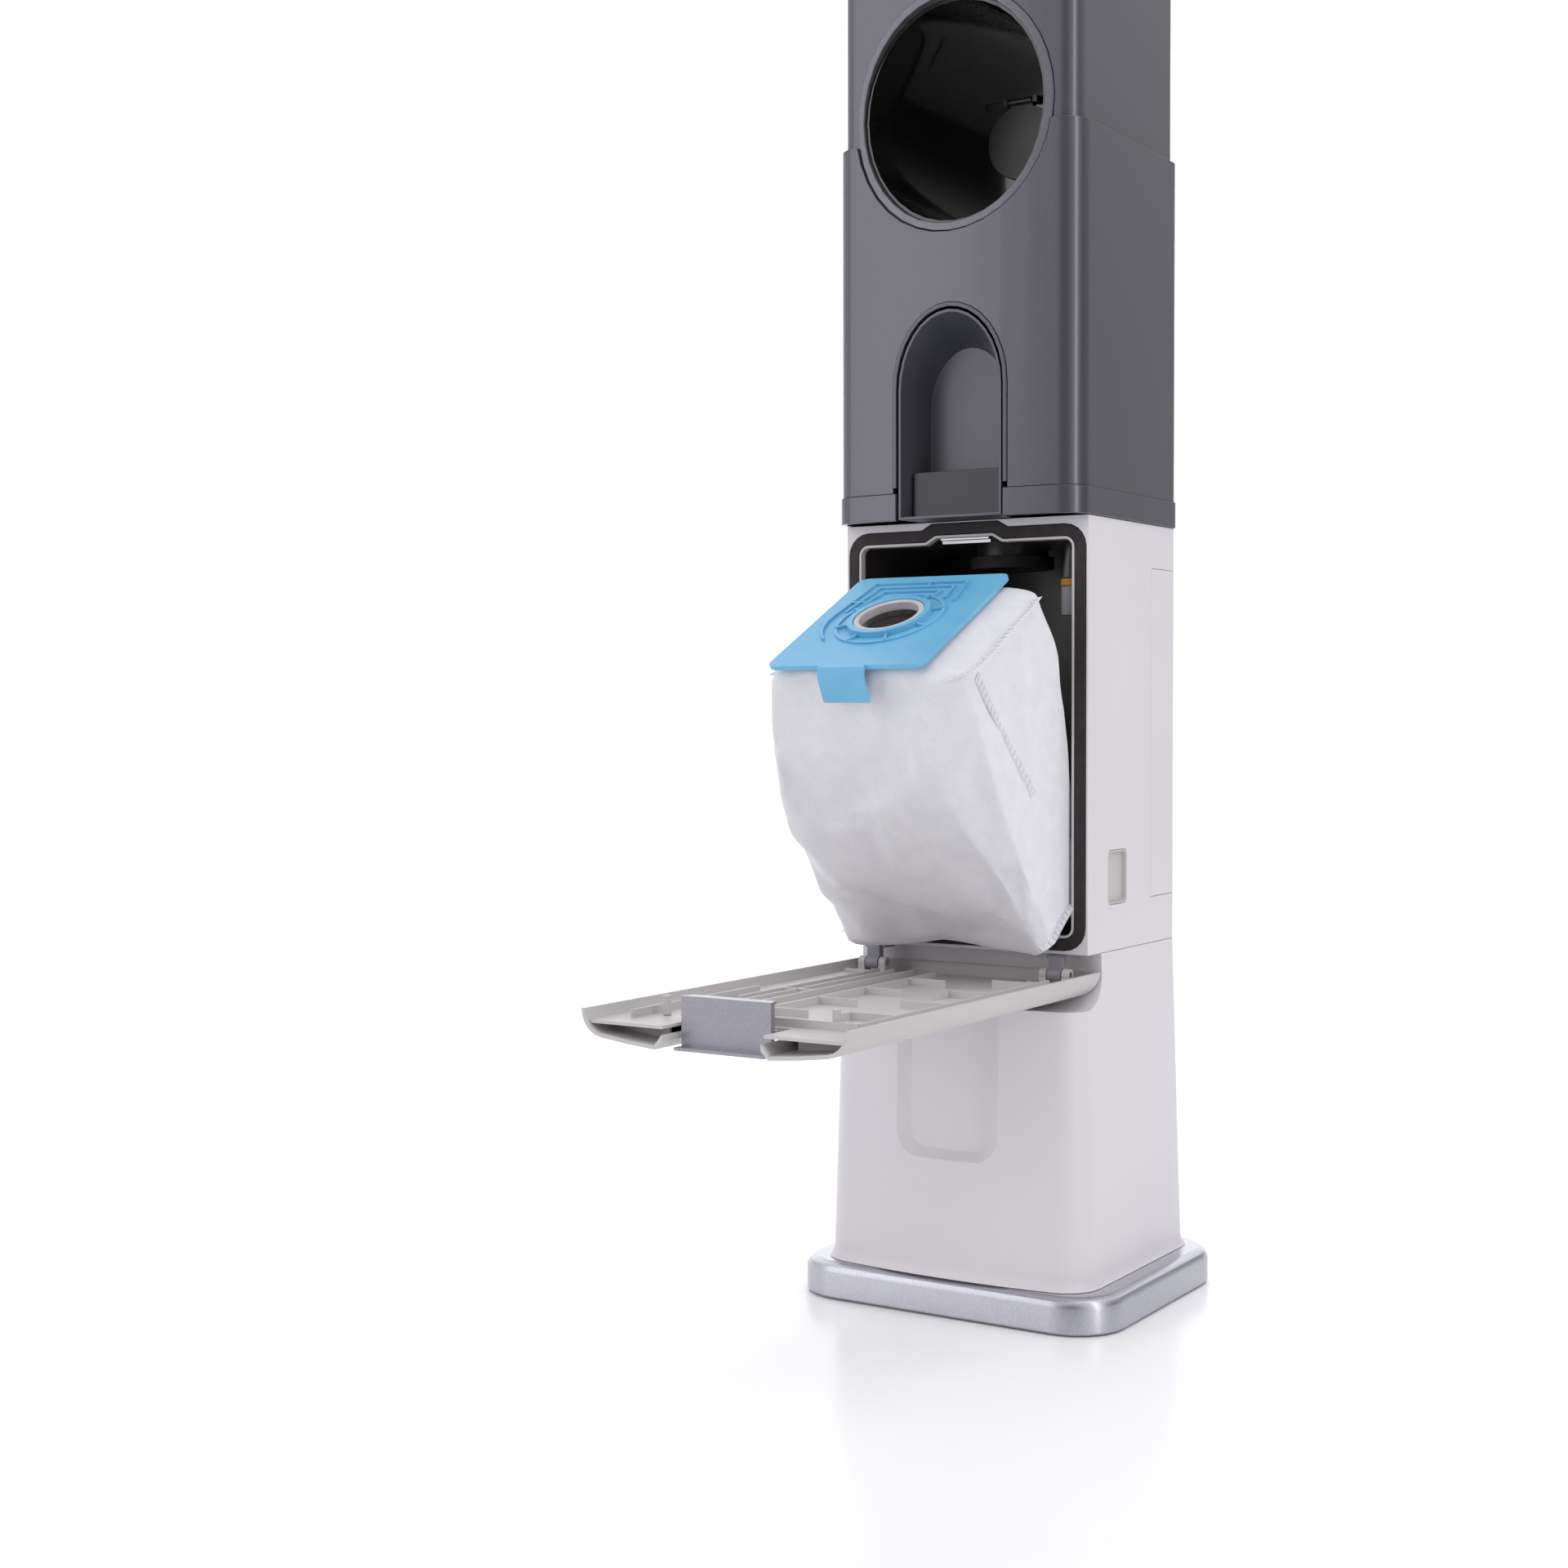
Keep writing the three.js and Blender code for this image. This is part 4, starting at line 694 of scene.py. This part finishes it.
shoulder, foot = row_near(487.5), row_near(285)
right_start = FRONT_STEPS + CORNER_STEPS[0]
left_start = right_start + SIDE_STEPS + CORNER_STEPS[1] + FRONT_STEPS + CORNER_STEPS[2]
right_side = range(right_start - CORNER_STEPS[0], right_start + SIDE_STEPS)
left_side = range(left_start, left_start + SIDE_STEPS)
TOP_WIDTH, GUSSET_WIDTH, FOOT_WIDTH = 6.5 * MM, 8.0 * MM, 5.0 * MM
GUSSET_ROWS, GUSSET_SLANT = 25, 0.28
plate_up = Vector((0, -math.sin(LEAN), math.cos(LEAN)))
welds = []
for side_name, columns, sign in (("right", right_side, 1), ("left", left_side, -1)):
    outward = Vector((sign, 0, 0))
    lip = [(outward + Vector((0, -0.45, 0.9)) * 0.25).normalized() for _ in columns]
    spots = [grid_at(shoulder, c) for c in columns]
    ups = [plate_up] * len(spots)
    welds.append(ribbon(f"bag_weld_top_{side_name}", spots, ups, TOP_WIDTH, -0.1 * MM, lip))

    middle = columns[len(columns) // 3] if sign > 0 else columns[2 * len(columns) // 3]
    drop = range(shoulder - 1, shoulder - 1 - GUSSET_ROWS, -1)
    line = [(r, middle + round(sign * (shoulder - r) * GUSSET_SLANT)) for r in drop]
    spots, out = [grid_at(*at) for at in line], [normal_at(*at) for at in line]
    welds.append(ribbon(f"bag_weld_gusset_{side_name}", spots, out, GUSSET_WIDTH, 0.3 * MM))

    spots, out = [grid_at(foot, c) for c in columns], [normal_at(foot, c) for c in columns]
    under = [(outward * 0.8 + Vector((0, -0.25, -0.55))).normalized() for _ in columns]
    welds.append(ribbon(f"bag_weld_foot_{side_name}", spots, out, FOOT_WIDTH, 0.0, under))

thicken = bag.modifiers.new("cloth_thickness", "SOLIDIFY")
thicken.thickness, thicken.offset = 0.5 * MM, -1
smooth = bag.modifiers.new("smooth", "SUBSURF")
smooth.levels = smooth.render_levels = 1
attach(bag, "bag")
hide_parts("bag_body")
for weld in welds:
    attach(weld, "bag")
for soft_piece in (bag, *welds):
    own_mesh(soft_piece)
print("bag with", len(welds), "welds")

# %% [markdown]
# ## The valve in the bag's mouth
# A thin rubber valve closes the mouth when no spigot is in it, so that dust stays in. It is
# a dished black disc cut across the middle into two leaves. Each leaf is a profile turned
# through a little less than half a turn, which leaves a slit that narrows to nothing at the
# centre.

# %% Bag valve
def leaf(name, profile, start, sweep, steps, centre, material):
    """A solid leaf: a closed profile of (radius, height) points turned part way round +Z."""
    points, faces, n = [], [], len(profile)
    for i in range(steps + 1):
        a = start + sweep * i / steps
        points += [tuple(Vector((r * math.cos(a), r * math.sin(a), h)) * MM + centre) for r, h in profile]
    for i in range(steps):
        for k in range(n):
            a, b = i * n + k, i * n + (k + 1) % n
            faces.append((a, a + n, b + n, b))
    faces += [tuple(range(n)), tuple(reversed(range(steps * n, steps * n + n)))]
    mesh = bpy.data.meshes.new(name)
    mesh.from_pydata(points, [], faces)
    mesh.materials.append(material)
    made = bpy.data.objects.new(name, mesh)
    bpy.context.scene.collection.objects.link(made)
    return made


def lean_out(made):
    """Leans a piece that was made upright, about the point where it stands, to the bag's angle."""
    for v in made.data.vertices:
        v.co = Matrix.Rotation(LEAN, 3, "X") @ (v.co - POLE) + POLE
    return made


DISH = [(r, 496.4 - 1.6 * math.cos(math.pi / 2 * r / 20)) for r in (0.4, 5, 10, 15, 19.6)]
valve_profile = DISH + [(r, h + 0.8) for r, h in reversed(DISH)]
SLIT = math.radians(3)
for k, side in enumerate(("front", "back")):
    turn = math.pi * (k + 1) + SLIT / 2
    centre = Vector((0, HOLE_Y, 0)) * MM
    part = leaf(f"bag_valve_{side}", valve_profile, turn, math.pi - SLIT, 24, centre, epdm)
    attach(lean_out(part), "bag")
print("valve of two leaves, 39 mm across")

# %% [markdown]
# ## Screws, inlet blades and small fittings
# The back panels are held with pan-head screws. A screw head is turned as a low dome with a
# cross recess; the recess is made as four short notches in the dome's top, which is all the
# eye sees of it. The power inlet holds two flat plated blades with bevelled tips.

# %% Screws
def screw(name, spot, body, radius=3.6):
    """A pan-head screw facing +Y, with a cross-shaped recess, its head standing on spot."""
    steps, faces, points = 32, [], []
    rings = [(1.0, 0.0), (1.0, 0.9), (0.9, 1.5), (0.62, 1.95), (0.3, 2.1), (0.1, 2.12)]
    for share, height in rings:
        for i in range(steps):
            a = 2 * math.pi * i / steps
            in_cross = min(abs(math.sin(2 * a)), 1) < 0.34 and share < 0.7
            sink = 0.9 if in_cross or share < 0.2 else 0.0
            x, z = radius * share * math.cos(a) * MM, radius * share * math.sin(a) * MM
            points.append((spot[0] + x, spot[1] + (height - sink) * MM, spot[2] - z))
    for r in range(len(rings) - 1):
        for i in range(steps):
            a, b = r * steps + i, r * steps + (i + 1) % steps
            faces.append((a, b, b + steps, a + steps))
    faces.append(tuple(range((len(rings) - 1) * steps, len(rings) * steps)))
    faces.append(tuple(reversed(range(steps))))
    mesh = bpy.data.meshes.new(name)
    mesh.from_pydata(points, [], faces)
    mesh.materials.append(zinc_steel)
    made = bpy.data.objects.new(name, mesh)
    bpy.context.scene.collection.objects.link(made)
    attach(made, body)
    return made


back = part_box("upper_rear_cover")[1].y
head_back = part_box("head_rear_cover")[1].y
low_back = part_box("mid_housing")[1].y
screws = [
    ("screw_upper", back, 70, 590),
    ("screw_sleeve", back, 70, 795),
    ("screw_head", head_back, 70, 985),
    ("screw_low", low_back, 70, 268),
]
for name, y, x, z in screws:
    for sign, side in ((1, "R"), (-1, "L")):
        screw(f"{name}_{side}", (sign * x * MM, y, z * MM), "tower")
print(2 * len(screws), "screws")


# %% Inlet blades
def blade(name, x, z, size, length, material):
    """A flat blade with a rounded tip that points to +Y, in the power inlet."""
    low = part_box("power_inlet")[0].y + 7 * MM
    half_w, half_t = size[0] / 2, size[1] / 2
    straight = length - 1.5
    outline = [(-half_w, 0), (half_w, 0), (half_w, straight), (half_w * 0.6, length)]
    outline += [(-half_w * 0.6, length), (-half_w, straight)]
    points = [((x + t) * MM, low + b * MM, (z + w) * MM) for t in (-half_t, half_t) for w, b in outline]
    n = len(outline)
    faces = [tuple(reversed(range(n))), tuple(range(n, 2 * n))]
    faces += [(i, (i + 1) % n, n + (i + 1) % n, n + i) for i in range(n)]
    mesh = bpy.data.meshes.new(name)
    mesh.from_pydata(points, [], faces)
    mesh.materials.append(material)
    made = bpy.data.objects.new(name, mesh)
    bpy.context.scene.collection.objects.link(made)
    soft = made.modifiers.new("soft_edge", "BEVEL")
    soft.width, soft.segments = 0.25 * MM, 2
    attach(made, "tower")
    return made


for side, x in (("R", 4.6), ("L", -4.6)):
    blade(f"inlet_blade_{side}", x, 60, (5.6, 1.6), 10, zinc_steel)
print("two inlet blades")

# %% [markdown]
# ## The sweep
# One pale sheet is both floor and wall. It is matt white board with a thin satin film, which
# is why the plinth has a faint reflection under it. The sweep stops 3.6 m to each side, so
# past it the column's dark satin sides mirror the world, which has a darker patch there.

# %% The sweep
board, tree, shade = finish("white_sweep_board", IOR=1.4, Specular_IOR_Level=0.3)
tree.links.new(two_tones(tree, grain(tree, 1.5, 1.0), "#fbfbfc", "#fdfdfe"), shade.inputs["Base Color"])
tree.links.new(between(tree, grain(tree, 0.4), 0.16, 0.22), shade.inputs["Roughness"])

SWEEP_HALF, SWEEP_FRONT, SWEEP_BACK, SWEEP_RISE, SWEEP_R = 3.6, -9.0, 5.0, 7.0, 2.0
bend_from = SWEEP_BACK - SWEEP_R
bend = [
    (bend_from + SWEEP_R * math.sin(a), SWEEP_R - SWEEP_R * math.cos(a))
    for a in np.linspace(0, math.pi / 2, 17)
]
outline = [(SWEEP_FRONT, 0.0), *bend, (SWEEP_BACK, SWEEP_RISE)]
corners = [(x, y, z) for y, z in outline for x in (-SWEEP_HALF, SWEEP_HALF)]
faces = [(2 * i, 2 * i + 1, 2 * i + 3, 2 * i + 2) for i in range(len(outline) - 1)]
sheet = bpy.data.meshes.new("sweep")
sheet.from_pydata(corners, [], faces)
sheet.materials.append(board)
sheet.polygons.foreach_set("use_smooth", [True] * len(faces))
sweep = bpy.data.objects.new("sweep", sheet)
bpy.context.scene.collection.objects.link(sweep)
sweep.rotation_euler.z = HEADING

world = bpy.data.worlds.new("studio_fill")
bpy.context.scene.world = world
world.use_nodes = True
tree = world.node_tree
toward = put(tree, "TexCoord").outputs["Generated"]
fill = 0.92
for turn, wide, dim in ((22, 0.80, 0.86), (114, 0.88, 0.78), (152, 0.86, 0.72)):
    a = math.radians(turn)
    way = {0: toward, 1: (math.sin(a), -math.cos(a), 0)}
    facing = put(tree, "VectorMath", way, operation="DOT_PRODUCT").outputs["Value"]
    edges = {0: facing, 1: wide, 2: 0.98, 3: 1.0, 4: 1 - dim}
    shadow = put(tree, "MapRange", edges, interpolation_type="SMOOTHSTEP").outputs[0]
    fill = put(tree, "Math", {0: shadow, 1: fill}, operation="MULTIPLY").outputs[0]
tree.links.new(fill, tree.nodes["Background"].inputs["Strength"])
tree.nodes["Background"].inputs["Color"].default_value = srgb("#fafafd")
bpy.context.scene.view_settings.view_transform = "Standard"
bpy.context.scene.view_settings.look = "None"
